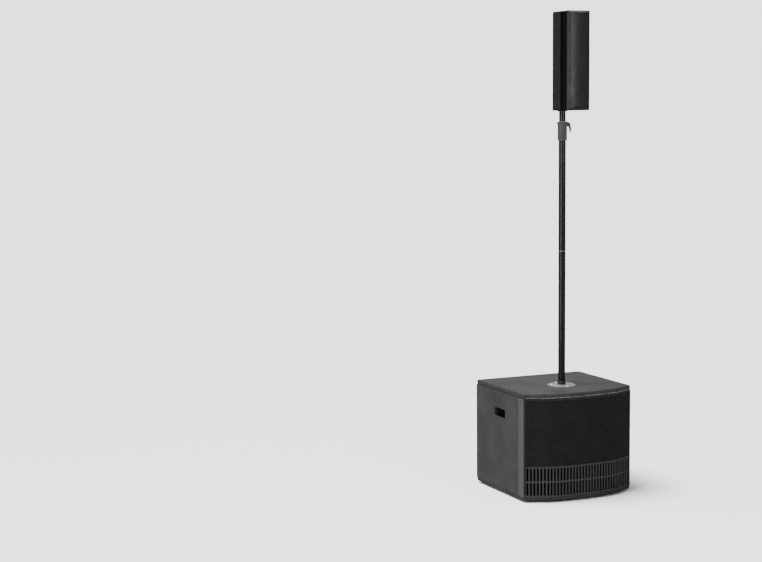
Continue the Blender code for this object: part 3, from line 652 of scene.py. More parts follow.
def perforation_recipe() -> Recipe:
    """A flat field of tiles, each with one hole, in staggered rows.

    Returns:
        The recipe.
    """
    recipe = Recipe("perforated_field", {
        "Columns": "NodeSocketInt", "Rows": "NodeSocketInt", "Pitch": "NodeSocketFloat",
        "Row Pitch": "NodeSocketFloat", "Tile": "NodeSocketObject", "Material": "NodeSocketMaterial"})
    board, given = recipe.board, recipe.given

    def maths(operation: str, a: object, b: object) -> bpy.types.NodeSocket:
        """Add one arithmetic node.

        Args:
            operation: what it does.
            a: its first value or socket.
            b: its second value or socket.

        Returns:
            The result.
        """
        return board.add("ShaderNodeMath", {0: a, 1: b}, operation=operation).outputs[0]

    width = maths("MULTIPLY", maths("SUBTRACT", given["Columns"], 1.0), given["Pitch"])
    height = maths("MULTIPLY", maths("SUBTRACT", given["Rows"], 1.0), given["Row Pitch"])
    grid = board.add("GeometryNodeMeshGrid", {
        "Size X": width, "Size Y": height, "Vertices X": given["Columns"], "Vertices Y": given["Rows"]})
    row = maths("MODULO", board.add("GeometryNodeInputIndex").outputs[0], given["Rows"])
    odd = maths("MODULO", row, 2.0)
    shift = maths("MULTIPLY", maths("SUBTRACT", odd, 0.5), maths("MULTIPLY", given["Pitch"], 0.5))
    offset = board.add("ShaderNodeCombineXYZ", {"X": shift}).outputs[0]
    points = board.add("GeometryNodeSetPosition", {"Geometry": grid.outputs["Mesh"], "Offset": offset})
    tile = board.add("GeometryNodeObjectInfo", {"Object": given["Tile"]})
    copies = board.add("GeometryNodeInstanceOnPoints", {
        "Points": points.outputs[0], "Instance": tile.outputs["Geometry"]})
    recipe.finish_with(copies.outputs[0], weld=0.00005)
    return recipe


def repeat_recipe() -> Recipe:
    """Copies of one part on each of the given points.

    Returns:
        The recipe.
    """
    recipe = Recipe("repeated_part", {"Part": "NodeSocketObject", "Material": "NodeSocketMaterial"})
    part = recipe.board.add("GeometryNodeObjectInfo", {"Object": recipe.given["Part"]})
    copies = recipe.board.add("GeometryNodeInstanceOnPoints", {
        "Points": recipe.given["Geometry"], "Instance": part.outputs["Geometry"]})
    recipe.finish_with(copies.outputs[0])
    return recipe


class Workshop:
    """The recipes, made once, and the parts that they repeat."""

    def __init__(self) -> None:
        """Build both recipes."""
        self.perforation = perforation_recipe()
        self.repeat = repeat_recipe()

    def copies(self, name: str, part: bpy.types.Object, points: Sequence[Sequence[float]],
               finish: Finish) -> bpy.types.Object:
        """Repeat a part on points.

        Args:
            name: the piece's name.
            part: the part, which is used up.
            points: where the copies go.
            finish: their finish.

        Returns:
            All the copies as one piece.
        """
        result = self.repeat.run(name, {"Part": part, "Material": finish.material()}, points)
        bpy.data.objects.remove(part, do_unlink=True)
        return result

    def screws(self, name: str, axis: str, direction: int, points: Sequence[Sequence[float]], radius: float,
               finish: Finish) -> bpy.types.Object:
        """Pan-head screws with a cross recess, standing on their points.

        Args:
            name: the piece's name.
            axis: the letter of the screws' axis.
            direction: +1 or -1 along that axis, out of the surface.
            points: where each head meets the surface.
            radius: the heads' radius.
            finish: their finish.

        Returns:
            All the screws as one piece.
        """
        return self.copies(name, screw_head(axis, direction, radius, finish), points, finish)

    def perforated(self, name: str, width: float, height: float, pitch: float, hole: float, sheet: float,
                   sides: int, finish: Finish) -> bpy.types.Object:
        """A flat perforated sheet in XY about the origin, with its back at +Z and a closed rim.

        Args:
            name: the piece's name.
            width: the least width that it covers.
            height: the least height that it covers.
            pitch: the distance between neighbouring holes.
            hole: the holes' radius.
            sheet: the sheet's thickness.
            sides: the holes' number of sides, 6 or 12.
            finish: its finish.

        Returns:
            The flat sheet.
        """
        row_pitch = pitch * math.sqrt(3) / 2
        tile = hexagon_tile(pitch, hole, sheet, sides, finish)
        flat = self.perforation.run(name, {
            "Columns": int(width / pitch), "Rows": int(height / row_pitch), "Pitch": pitch,
            "Row Pitch": row_pitch, "Tile": tile, "Material": finish.material()})
        bpy.data.objects.remove(tile, do_unlink=True)
        close_rim(flat)
        return flat


def screw_head(axis: str, direction: int, radius: float, finish: Finish) -> bpy.types.Object:
    """One screw head at the origin, with a cross sunk into its dome.

    Args:
        axis: the letter of the screw's axis.
        direction: +1 or -1 along it, out of the surface.
        radius: the head's radius.
        finish: its finish.

    Returns:
        The head.
    """
    rise = radius * 0.55
    profile = [(radius, 0.0), (radius, rise * 0.35), (radius * 0.85, rise * 0.75), (radius * 0.55, rise)]
    head = turned("screw_head", axis, (0.0, 0.0, 0.0), [(r, direction * a) for r, a in profile], finish, 20)
    place = PLACERS[axis]
    long, slim, deep = radius * 0.5, radius * 0.12, rise * 0.5
    cutters = []
    for a, b in ((long, slim), (slim, long)):
        low = [place(u, v, direction * (rise - deep)) for u, v in rectangle(0.0, 0.0, 2 * a, 2 * b)]
        high = [place(u, v, direction * (rise + deep)) for u, v in rectangle(0.0, 0.0, 2 * a, 2 * b)]
        cutters.append(loft("recess", [low, high], finish))
    for cutter in cutters:
        cut = head.modifiers.new("recess", "BOOLEAN")
        cut.operation = "DIFFERENCE"
        cut.object = cutter
    head = baked(head)
    for cutter in cutters:
        bpy.data.objects.remove(cutter, do_unlink=True)
    return head


def hexagon_tile(pitch: float, hole: float, sheet: float, sides: int, finish: Finish) -> bpy.types.Object:
    """One hexagon of sheet with a hole: both faces and the hole's wall, without outer walls.

    Args:
        pitch: the tile's width across flats.
        hole: the hole's radius.
        sheet: the thickness.
        sides: the hole's number of sides, 6 or 12.
        finish: its finish.

    Returns:
        The tile.
    """
    step = 360 // sides
    outer, inner = [], []
    for k in range(sides):
        angle = math.radians(k * step + (30 if sides == 6 else 0))
        corner = sides == 6 or k % 2 == 1
        reach = pitch / math.sqrt(3) if corner else pitch / 2
        outer.append((reach * math.cos(angle), reach * math.sin(angle)))
        inner.append((hole * math.cos(angle), hole * math.sin(angle)))
    bm = bmesh.new()
    rings = [[bm.verts.new((x, y, z)) for x, y in plan] for plan, z in (
        (outer, 0.0), (inner, 0.0), (inner, sheet), (outer, sheet))]
    for first, second in zip(rings, rings[1:]):
        for i in range(sides):
            j = (i + 1) % sides
            bm.faces.new((first[i], first[j], second[j], second[i]))
    return new_item("tile", bm, finish)


def close_rim(item: bpy.types.Object) -> None:
    """Close the open rim between the two faces of a flat sheet.

    Args:
        item: the sheet.
    """
    bm = bmesh.new()
    bm.from_mesh(item.data)
    rim = [edge for edge in bm.edges if edge.is_boundary]
    by_place: dict[tuple[int, ...], list[bmesh.types.BMEdge]] = {}
    for edge in rim:
        key = tuple(sorted((round(v.co.x * 1e5), round(v.co.y * 1e5)) for v in edge.verts))
        by_place.setdefault(key, []).append(edge)
    for pair in by_place.values():
        if len(pair) == 2:
            a, b = pair[0].verts
            c, d = sorted(pair[1].verts, key=lambda v: (v.co - a.co).length)
            bm.faces.new((a, b, d, c))
    bmesh.ops.recalc_face_normals(bm, faces=bm.faces[:])
    bm.to_mesh(item.data)
    bm.free()


def reshape(item: bpy.types.Object, mapping: Callable[[Vector], Vector],
            sharp_deg: float = 40.0) -> bpy.types.Object:
    """Move every vertex by a mapping, then set the normals and the shading again.

    Args:
        item: the object.
        mapping: where each point goes.
        sharp_deg: edges that turn more than this stay sharp.

    Returns:
        The same object.
    """
    bm = bmesh.new()
    bm.from_mesh(item.data)
    for vert in bm.verts:
        vert.co = mapping(vert.co)
    bmesh.ops.recalc_face_normals(bm, faces=bm.faces[:])
    bm.to_mesh(item.data)
    bm.free()
    item.data.shade_smooth()
    item.data.set_sharp_from_angle(angle=math.radians(sharp_deg))
    return item


# ---------------------------------------------------------------------- plan of the front
def shift_path(points: Plan, distance: float, closed: bool = False) -> Plan:
    """Move a plan path to its left by a distance, with mitred corners.

    Args:
        points: the path.
        distance: how far it moves.
        closed: whether its end meets its start.

    Returns:
        The moved path.
    """
    count = len(points)
    moved: Plan = []
    for i, point in enumerate(points):
        here = Vector(point)
        directions = []
        if closed or i > 0:
            directions.append((here - Vector(points[i - 1])).normalized())
        if closed or i < count - 1:
            directions.append((Vector(points[(i + 1) % count]) - here).normalized())
        normals = [Vector((-d.y, d.x)) for d in directions]
        middle = sum(normals, Vector((0.0, 0.0))).normalized()
        moved.append(tuple(here + middle * (distance / middle.dot(normals[0]))))
    return moved


@dataclass
class FrontCurve:
    """The cabinet's front in plan: a slanted end, a gentle arc and a slanted end."""

    half_width: float
    side_y: float
    facet_x: float = 0.205
    facet_depth: float = 0.057
    arc_rise: float = 0.021
    steps: int = 40
    front_round: float = 0.012
    rear_round: float = 0.016

    def path(self) -> Plan:
        """List the points from the left corner to the right one.

        Returns:
            The path.
        """
        points = [(-self.half_width, self.side_y)]
        for i in range(self.steps + 1):
            x = self.facet_x * (2 * i / self.steps - 1)
            rise = self.facet_depth + self.arc_rise * (1 - (x / self.facet_x) ** 2)
            points.append((x, self.side_y - rise))
        points.append((self.half_width, self.side_y))
        return points

    def outline(self, back_y: float, inset: float) -> Plan:
        """The whole plan of a panel, with eased corners.

        Args:
            back_y: where the panel ends at the back.
            inset: how far it is drawn in.

        Returns:
            The plan.
        """
        front = self.path()
        radii = [self.front_round, *[0.0] * (len(front) - 2), self.front_round, *[self.rear_round] * 2]
        plan = rounded(front + [(self.half_width, back_y), (-self.half_width, back_y)], radii)
        return shift_path(plan, inset, closed=True) if inset else plan


class Bender:
    """Places points by their length along a plan path and their depth behind it."""

    def __init__(self, path: Plan, depths: Sequence[float]) -> None:
        """Prepare the path.

        Args:
            path: the plan path.
            depths: the depths that will be asked for.
        """
        self.lengths = [0.0]
        for a, b in zip(path, path[1:]):
            self.lengths.append(self.lengths[-1] + math.dist(a, b))
        self.total = self.lengths[-1]
        self.moved = {round(depth, 6): shift_path(path, depth) for depth in depths}

    def at(self, along: float, depth: float) -> tuple[float, float]:
        """Find the plan point at a length and a depth.

        Args:
            along: the length along the path.
            depth: one of the depths behind it.

        Returns:
            The plan point.
        """
        points = self.moved[round(depth, 6)]
        i = min(max(bisect_right(self.lengths, along) - 1, 0), len(self.lengths) - 2)
        share = (along - self.lengths[i]) / (self.lengths[i + 1] - self.lengths[i])
        (ax, ay), (bx, by) = points[i], points[i + 1]
        return ax + (bx - ax) * share, ay + (by - ay) * share


def bent_lattice(name: str, bender: Bender, depths: tuple[float, float], stations: Sequence[float],
                 heights: Sequence[float], is_open: Callable[[int, int], bool], finish: Finish,
                 bevel: float) -> bpy.types.Object:
    """A bent sheet on a grid of stations and heights, with some cells open.

    Args:
        name: the piece's name.
        bender: the path that it follows.
        depths: where its two faces lie behind the path.
        stations: lengths along the path.
        heights: levels of its rows.
        is_open: says which cells are open.
        finish: its finish.
        bevel: width of its rounded edges.

    Returns:
        The new object.
    """
    bm = bmesh.new()
    verts = [[[bm.verts.new((*bender.at(s, depth), z)) for z in heights] for s in stations]
             for depth in depths]
    cells = {(i, j) for i in range(len(stations) - 1) for j in range(len(heights) - 1) if not is_open(i, j)}
    sides = {(-1, 0): ((0, 0), (0, 1)), (1, 0): ((1, 0), (1, 1)),
             (0, -1): ((0, 0), (1, 0)), (0, 1): ((0, 1), (1, 1))}
    for i, j in sorted(cells):
        corners = [(i, j), (i + 1, j), (i + 1, j + 1), (i, j + 1)]
        bm.faces.new([verts[0][a][b] for a, b in corners])
        bm.faces.new([verts[1][a][b] for a, b in reversed(corners)])
        for (di, dj), ((a0, b0), (a1, b1)) in sides.items():
            if (i + di, j + dj) not in cells:
                bm.faces.new([verts[0][i + a0][j + b0], verts[0][i + a1][j + b1],
                              verts[1][i + a1][j + b1], verts[1][i + a0][j + b0]])
    bmesh.ops.delete(bm, geom=[vert for vert in bm.verts if not vert.link_faces], context="VERTS")
    return bevelled(new_item(name, bm, finish), bevel)


def merged(values: Sequence[float], closest: float = 0.0006) -> list[float]:
    """Sort stations and drop any that nearly repeat the one before.

    Args:
        values: the stations.
        closest: the least distance that is kept.

    Returns:
        The stations left.
    """
    kept: list[float] = []
    for value in sorted(values):
        if not kept or value - kept[-1] > closest:
            kept.append(value)
    return kept


# ---------------------------------------------------------------------- cabinet
@dataclass
class Cabinet:
    """The painted boards, with the handles, the feet and the pole flange."""

    workshop: Workshop
    body: str = "cabinet"
    edge_radius: float = 0.008
    edge_steps: int = 4
    seam_radius: float = 0.003
    lip_radius: float = 0.006
    handle_radius: float = 0.010
    flange_width: float = 0.058
    glue: float = 0.0005
    board_bevel: float = 0.0016
    grip_cover: float = 0.010
    cup_cover: float = 0.040
    plate_cover: float = 0.030
    curve: FrontCurve = field(init=False)

    def __post_init__(self) -> None:
        """Read the cabinet's levels from the frame."""
        self.low, self.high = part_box("sub_bottom_panel")
        self.top_low, self.top_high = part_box("sub_top_panel")
        self.side_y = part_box("front_frame")[1].y - self.flange_width
        self.curve = FrontCurve(self.high.x, self.side_y)

    def rounded_panel(self, name: str, z0: float, z1: float, radii: tuple[float, float]) -> bpy.types.Object:
        """A panel of the cabinet's plan with rounded lower and upper edges.

        Args:
            name: the piece's name.
            z0: its underside.
            z1: its top.
            radii: its lower and upper edge radius.

        Returns:
            The panel.
        """
        lower, upper = radii
        turns = [math.pi / 2 * k / self.edge_steps for k in range(self.edge_steps + 1)]
        levels = [(lower + 0.001, z0)]
        levels += [(lower * (1 - math.sin(turn)), z0 + lower * (1 - math.cos(turn))) for turn in turns]
        levels += [(upper * (1 - math.cos(turn)), z1 - upper * (1 - math.sin(turn))) for turn in turns]
        levels.append((upper + 0.001, z1))
        loops = [[(x, y, z) for x, y in self.curve.outline(self.high.y, inset)] for inset, z in levels]
        # The top board takes the lighter paint with painted sheen; the other boards take the plain structure
        # paint.
        panel = loft(name, loops, SHEEN_TOP_PAINT if name == "top_board" else STRUCTURE_PAINT)
        for finish in (SHADED_EDGE_PAINT, HIGHLIGHT_EDGE_PAINT):
            panel.data.materials.append(finish.material())
        # Upright and rounded edge faces of both boards take the darker paint: painted shade.
        for face in panel.data.polygons:
            if abs(face.normal.z) < 0.9:
                # The top board's downward-facing front lip takes the light paint: painted highlight.
                under = face.normal.z < -0.05 and face.center.y < self.side_y - 0.004
                face.material_index = 2 if under and name == "top_board" else 1
        return panel

    def panels(self) -> None:
        """The top, the bottom, both sides and the back."""
        top = self.rounded_panel("top_board", self.top_low.z, self.top_high.z,
                                 (self.lip_radius, self.edge_radius))
        settle(top, self.body, "textured_paint", "sub_top_panel")
        bottom = self.rounded_panel("bottom_board", self.low.z, self.high.z,
                                    (self.edge_radius, self.seam_radius))
        settle(bottom, self.body, "textured_paint", "sub_bottom_panel")
        cup_low, cup_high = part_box("handle_cup_left")
        _, y, z = middle_of("handle_cup_left")
        length = cup_high.y - cup_low.y - self.grip_cover
        height = cup_high.z - cup_low.z - self.cup_cover
        opening = rectangle(y, z, length, height, self.handle_radius)
        for name, node in (("left_board", "sub_left_side"), ("right_board", "sub_right_side")):
            low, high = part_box(node)
            z0, z1 = low.z - self.glue, high.z + self.glue
            outline = [(low.y, z0), (high.y, z0), (high.y, z1), (low.y, z1)]
            side = plate(name, "X", outline, [opening], low.x, high.x, STRUCTURE_PAINT, self.board_bevel)
            settle(side, self.body, "textured_paint", node)
        low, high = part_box("sub_back_panel")
        plate_low, plate_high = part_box("amp_plate")
        width, height = plate_high.x - plate_low.x, plate_high.z - plate_low.z
        middle_z = middle_of("amp_plate")[2]
        cut = rectangle(0.0, middle_z, width - self.plate_cover, height - self.plate_cover, 0.012)
        z0, z1 = low.z - self.glue, high.z + self.glue
        outline = [(low.x, z0), (high.x, z0), (high.x, z1), (low.x, z1)]
        back = plate("back_board", "Y", outline, [cut], low.y, high.y, STRUCTURE_PAINT, self.board_bevel)
        settle(back, self.body, "textured_paint", "sub_back_panel")

    def handles(self) -> None:
        """A moulded cup behind each opening, with a rolled grip edge."""
        levels = [(0.0, 1.0, 0.012), (0.0, 0.12, 0.0), (0.0, 0.0, 0.0), (0.003, 0.0, 0.0),
                  (0.003, 0.12, 0.0), (0.0035, 0.55, 0.001), (0.006, 0.85, 0.006), (0.014, 0.95, 0.014)]
        for label in ("left", "right"):
            node = f"handle_cup_{label}"
            low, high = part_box(node)
            _, y, z = middle_of(node)
            width, height = high.y - low.y, high.z - low.z
            mouth, end = (low.x, high.x) if label == "left" else (high.x, low.x)
            deep = end - mouth
            loops = []
            for wall, share, taper in levels:
                inset = 2 * (wall + taper)
                plan = rectangle(y, z, width - inset, height - inset, self.handle_radius, 4)
                loops.append([(mouth + deep * share, u, v) for u, v in plan])
            settle(loft(f"{label}_handle_cup", loops, MOULDED), self.body, "cup_plastic", node)

    def flange(self) -> None:
        """The turned pole flange with its screws."""
        low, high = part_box("pole_flange")
        x, y, _ = middle_of("pole_flange")
        radius, surface = (high.x - low.x) / 2, self.top_high.z
        rim = [(radius - 0.0012, surface + 0.0003), (radius, surface + 0.0009),
               (radius - 0.0004, surface + 0.0018), (radius - 0.002, surface + 0.0026),
               (radius - 0.006, surface + 0.0030),
               (0.040, surface + 0.0030), (0.039, surface + 0.0026), (0.030, surface + 0.0026),
               (0.027, surface + 0.0034), (0.0245, surface + 0.0040), (0.0102, surface + 0.0040),
               (0.0102, low.z), (0.0255, low.z), (0.0255, surface + 0.0003)]
        disc = turned("flange_disc", "Z", (x, y, 0.0), rim, FLANGE_METAL, 96, closed=True)
        settle(disc, self.body, "flange_metal", "pole_flange")
        nodes = [f"flange_screw_{number}" for number in range(1, 5)]
        points = [(*middle_of(node)[:2], surface + 0.0030) for node in nodes]
        screws = self.workshop.screws("flange_screws", "Z", 1, points, 0.0052, ZINC)
        settle(screws, self.body, "screw_steel", *nodes)

    def feet(self) -> None:
        """Dished rubber feet."""
        for number in range(1, 5):
            node = f"rubber_foot_{number}"
            x, y, _ = middle_of(node)
            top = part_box(node)[1].z
            profile = [(0.0195, top), (0.0200, top - 0.002), (0.0175, 0.0012), (0.0162, 0.0),
                       (0.0095, 0.0), (0.0088, 0.0008), (0.0084, 0.0045), (0.0060, 0.0048)]
            foot = turned(f"foot_{number}", "Z", (x, y, 0.0), profile, RUBBER, 40)
            settle(foot, self.body, "foot_rubber", node)

    def build(self) -> None:
        """Make every piece of the cabinet's outside."""
        self.panels()
        self.handles()
        self.flange()
        self.feet()


# ---------------------------------------------------------------------- front
@dataclass
class Front:
    """The steel frame, the perforated grille and the port grid."""

    workshop: Workshop
    cabinet: Cabinet
    setback: float = 0.0008
    sheet: float = 0.002
    gap: float = 0.0003
    border: float = 0.012
    rail: float = 0.010
    hole_pitch: float = 0.0118
    hole_radius: float = 0.0043
    grille_sheet: float = 0.0015
    grid_sheet: float = 0.007
    end_margin: float = 0.006
    slots: int = 36
    slot_share: float = 0.54
    slot_height: float = 0.068
    rib: float = 0.009

    def frame(self) -> None:
        """The frame's side flanges and its border round the grille."""
        low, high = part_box("front_frame")
        path = self.cabinet.curve.path()
        back = high.y
        full = [(path[0][0], back), *path, (path[-1][0], back)]
        depths = (self.setback, self.setback + self.sheet)
        bender = Bender(full, depths)
        first, last = bender.lengths[1], bender.lengths[-2]
        stations = merged([*bender.lengths, first + self.border, last - self.border])
        a, b = (min(range(len(stations)), key=lambda i: abs(stations[i] - edge))
                for edge in (first + self.border, last - self.border))
        heights = [low.z, low.z + self.rail, high.z - self.rail, high.z]
        item = bent_lattice("front_steel_frame", bender, depths, stations, heights,
                            lambda i, j: a <= i < b and j == 1, FRAME_PAINT, 0.0006)
        # The frame's front-facing faces take the darker grid and grille coats: painted shade on the front of
        # the one steel sheet, whose side flanges keep the lighter frame coat.
        for finish in (GRID_PAINT, GRILLE_PAINT):
            item.data.materials.append(finish.material())
        for face in item.data.polygons:
            if face.normal.y < -0.5:
                face.material_index = 1 if face.center.z < low.z + 0.2 else 2
        settle(item, self.cabinet.body, "front_paint", "front_frame")

    def grille(self) -> None:
        """The perforated sheet, bent to the front."""
        low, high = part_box("front_grille")
        depth = self.setback + self.sheet + self.gap
        bender = Bender(self.cabinet.curve.path(), (depth, depth + self.grille_sheet))
        flat = self.workshop.perforated(
            "perforated_front", bender.total - self.end_margin, high.z - low.z,
            self.hole_pitch, self.hole_radius, self.grille_sheet, 12, GRILLE_PAINT)
        middle = middle_of("front_grille")[2]
        half = bender.total / 2

        def onto_front(point: Vector) -> Vector:
            """Bend the sheet to the front.

            Args:
                point: a point of the flat sheet.

            Returns:
                Its place on the front.
            """
            behind = depth + (self.grille_sheet if point.z > self.grille_sheet / 2 else 0.0)
            x, y = bender.at(point.x + half, behind)
            return Vector((x, y, middle + point.y))

        settle(reshape(flat, onto_front), self.cabinet.body, "grille_steel", "front_grille")

    def port_grid(self) -> None:
        """Two rows of upright slots between rails."""
        low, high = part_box("port_grid")
        frame_low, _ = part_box("front_frame")
        depth = self.setback + self.sheet + self.gap
        depths = (depth, depth + self.grid_sheet)
        bender = Bender(self.cabinet.curve.path(), depths)
        pitch = (bender.total - 2 * self.border) / self.slots
        stations = [self.end_margin]
        for slot in range(self.slots):
            middle = self.border + (slot + 0.5) * pitch
            stations += [middle - pitch * self.slot_share / 2, middle + pitch * self.slot_share / 2]
        stations.append(bender.total - self.end_margin)
        start = frame_low.z + self.rail - 0.001
        rows = [low.z, start, start + self.slot_height, start + self.slot_height + self.rib,
                start + 2 * self.slot_height + self.rib, high.z]
        item = bent_lattice("slotted_port_grid", bender, depths, stations, rows,
                            lambda i, j: i % 2 == 1 and j in (1, 3), GRID_PAINT, 0.0007)
        settle(item, self.cabinet.body, "front_paint", "port_grid")

    def build(self) -> None:
        """Make the front."""
        self.frame()
        self.grille()
        self.port_grid()


# ---------------------------------------------------------------------- amplifier
@dataclass
class Amplifier:
    """The recessed plate at the back with its fins, knobs and sockets."""

    workshop: Workshop
    body: str = "cabinet"
    screw_inset: float = 0.0215
    fins: int = 12
    fin_pitch: float = 0.018
    fin_thickness: float = 0.003
    flutes: int = 18
    socket_margin: float = 0.016

    def __post_init__(self) -> None:
        """Read the plate's place from the frame."""
        self.low, self.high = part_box("amp_plate")
        self.face = self.high.y
        self.middle_z = middle_of("amp_plate")[2]

    def plate_screws(self) -> None:
        """Screws along the plate's visible border."""
        half_w = (self.high.x - self.low.x) / 2 - self.screw_inset
        half_h = (self.high.z - self.low.z) / 2 - self.screw_inset
        points = [(sx * half_w, self.face, self.middle_z + z) for sx in (-1, 1)
                  for z in (-half_h, -half_h / 3, half_h / 3, half_h)]
        screws = self.workshop.screws("amp_plate_screws", "Y", 1, points, 0.0038, BLACK_SCREW)
        settle(screws, self.body, "amp_metal")

    def heat_sink(self) -> None:
        """Upright fins on a base."""
        low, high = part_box("amp_heatsink")
        outline = rectangle(0.0, middle_of("amp_heatsink")[2], high.x - low.x, high.z - low.z, 0.002)
        base = plate("fin_base", "Y", outline, [], low.y, low.y + 0.004, ANODISED, 0.0006)
        thick, root, tip = self.fin_thickness, low.y + 0.0035, high.y - 0.001
        fin_plan = [(-thick / 2, root), (thick / 2, root), (thick / 2, tip),
                    (thick * 0.2, high.y), (-thick * 0.2, high.y), (-thick / 2, tip)]
        ends = (low.z + 0.002, high.z - 0.002)
        fin = loft("fin", [[(u, v, z) for u, v in fin_plan] for z in ends], ANODISED)
        points = [((i - (self.fins - 1) / 2) * self.fin_pitch, 0.0, 0.0) for i in range(self.fins)]
        fins = self.workshop.copies("fins", fin, points, ANODISED)
        settle(joined("finned_heat_sink", [base, fins]), self.body, "amp_metal", "amp_heatsink")

    def knobs(self) -> None:
        """Fluted knobs with a white pointer line."""
        for name, node in (("level_control", "level_knob"), ("crossover_control", "crossover_knob")):
            low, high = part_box(node)
            x, _, z = middle_of(node)
            loops = []
            for radius, y, wave in (
                    (0.0029, low.y, 0.0), (0.0029, self.face + 0.0008, 0.0),
                    (0.0084, self.face + 0.0008, 0.0),
                    (0.0084, self.face + 0.0030, 0.0), (0.0076, self.face + 0.0032, 0.0),
                    (0.0074, self.face + 0.0042, 0.0004), (0.0067, high.y - 0.0010, 0.0004),
                    (0.0060, high.y - 0.0002, 0.0), (0.0045, high.y, 0.0)):
                ring = []
                for i in range(self.flutes * 4):
                    angle = 2 * math.pi * i / (self.flutes * 4)
                    r = radius - wave * (0.5 + 0.5 * math.cos(self.flutes * angle))
                    ring.append((x + r * math.cos(angle), y, z + r * math.sin(angle)))
                loops.append(ring)
            knob = loft(name + "_body", loops, MOULDED)
            line = plate(name + "_line", "Y", rectangle(x, z + 0.0038, 0.0009, 0.0038), [], high.y - 0.0004,
                         high.y, POINTER_WHITE)
            settle(joined(name, [knob, line]), node + "_body", "control_plastic", node)

    def sockets(self) -> None:
        """Round sockets with a raised collar and contacts, on their strips."""
        for strip, count, pins in (("line_socket_strip", 4, 3), ("speaker_socket_strip", 2, 4)):
            low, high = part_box(strip)
            z = middle_of(strip)[2]
            start = low.x + self.socket_margin
            pitch = (high.x - low.x - 2 * self.socket_margin) / (count - 1)
            collar = turned("collar", "Y", (0.0, 0.0, 0.0), [
                (0.0118, self.face + 0.0036), (0.0132, self.face + 0.0040), (0.0134, self.face + 0.0052),
                (0.0124, self.face + 0.0060), (0.0106, self.face + 0.0060), (0.0100, self.face + 0.0052),
                (0.0098, self.face - 0.0120), (0.0104, self.face - 0.0120)], MOULDED, 40, closed=True)
            floor = turned("floor", "Y", (0.0, 0.0, 0.0), [
                (0.0103, self.face - 0.0115), (0.0103, self.face - 0.0090), (0.0042, self.face - 0.0085)],
                MOULDED, 32)
            contacts = []
            for k in range(pins):
                angle = 2 * math.pi * k / pins + math.pi / 4
                centre = (0.0078 * math.cos(angle), 0.0, 0.0078 * math.sin(angle))
                contacts.append(turned("contact", "Y", centre, [
                    (0.0009, self.face - 0.0095), (0.0009, self.face - 0.0010), (0.0004, self.face - 0.0004)],
                    CONTACT_BRASS, 10))
            items = [collar, floor, *contacts]
            if pins == 4:
                items.append(turned("core", "Y", (0.0, 0.0, 0.0), [
                    (0.0052, self.face - 0.0088), (0.0052, self.face + 0.0010), (0.0044, self.face + 0.0022)],
                    MOULDED, 32))
            parts = []
            for i in range(count):
                for item in items:
                    copy = item.copy()
                    copy.data = item.data.copy()
                    copy.data.transform(Matrix.Translation((start + i * pitch, 0.0, z)))
                    bpy.context.scene.collection.objects.link(copy)
                    parts.append(copy)
            for item in items:
                bpy.data.objects.remove(item, do_unlink=True)
            name = strip.replace("socket_strip", "sockets")
            settle(joined(name, parts), self.body, "control_plastic")

    def rocker_well(self) -> None:
        """The closed housing and the raised border round the power rocker."""
        x, _, z = middle_of("power_rocker")
        levels = [(0.0224, 0.0292, -0.0160, 0.001), (0.0224, 0.0292, 0.0001, 0.001),
                  (0.0264, 0.0332, 0.0001, 0.002), (0.0264, 0.0332, 0.0008, 0.002),
                  (0.0254, 0.0322, 0.0015, 0.002), (0.0216, 0.0284, 0.0015, 0.001),
                  (0.0208, 0.0276, 0.0008, 0.001), (0.0208, 0.0276, -0.0140, 0.001)]
        loops = [[(u, self.face + y, v) for u, v in rectangle(x, z, width, height, radius, 3)]
                 for width, height, y, radius in levels]
        settle(loft("rocker_housing", loops, MOULDED), self.body, "control_plastic")

    def mains(self) -> None:
        """The inlet's three blades and two indicator lights."""
        x, _, z = middle_of("mains_inlet")
        blade = loft("blade", [[(u, y, v) for u, v in rectangle(0.0, 0.0, 0.0020, 0.0050)]
                               for y in (self.face - 0.0165, self.face - 0.0020)], ZINC)
        points = [(x - 0.007, 0.0, z - 0.002), (x + 0.007, 0.0, z - 0.002), (x, 0.0, z + 0.003)]
        settle(self.workshop.copies("inlet_blades", blade, points, ZINC), self.body, "screw_steel")
        lens = turned("lens", "Y", (0.0, 0.0, 0.0), [
            (0.0022, self.face - 0.001), (0.0022, self.face + 0.0006), (0.0016, self.face + 0.0014)],
            LED_GREEN, 20)
        points = [(-0.030, 0.0, self.high.z - 0.050), (-0.050, 0.0, self.high.z - 0.050)]
        lights = self.workshop.copies("indicator_lights", lens, points, LED_GREEN)
        settle(lights, self.body, "terminal_plastic")

    def build(self) -> None:
        """Make the amplifier's outside."""
        self.plate_screws()
        self.heat_sink()
        self.knobs()
        self.sockets()
        self.rocker_well()
        self.mains()


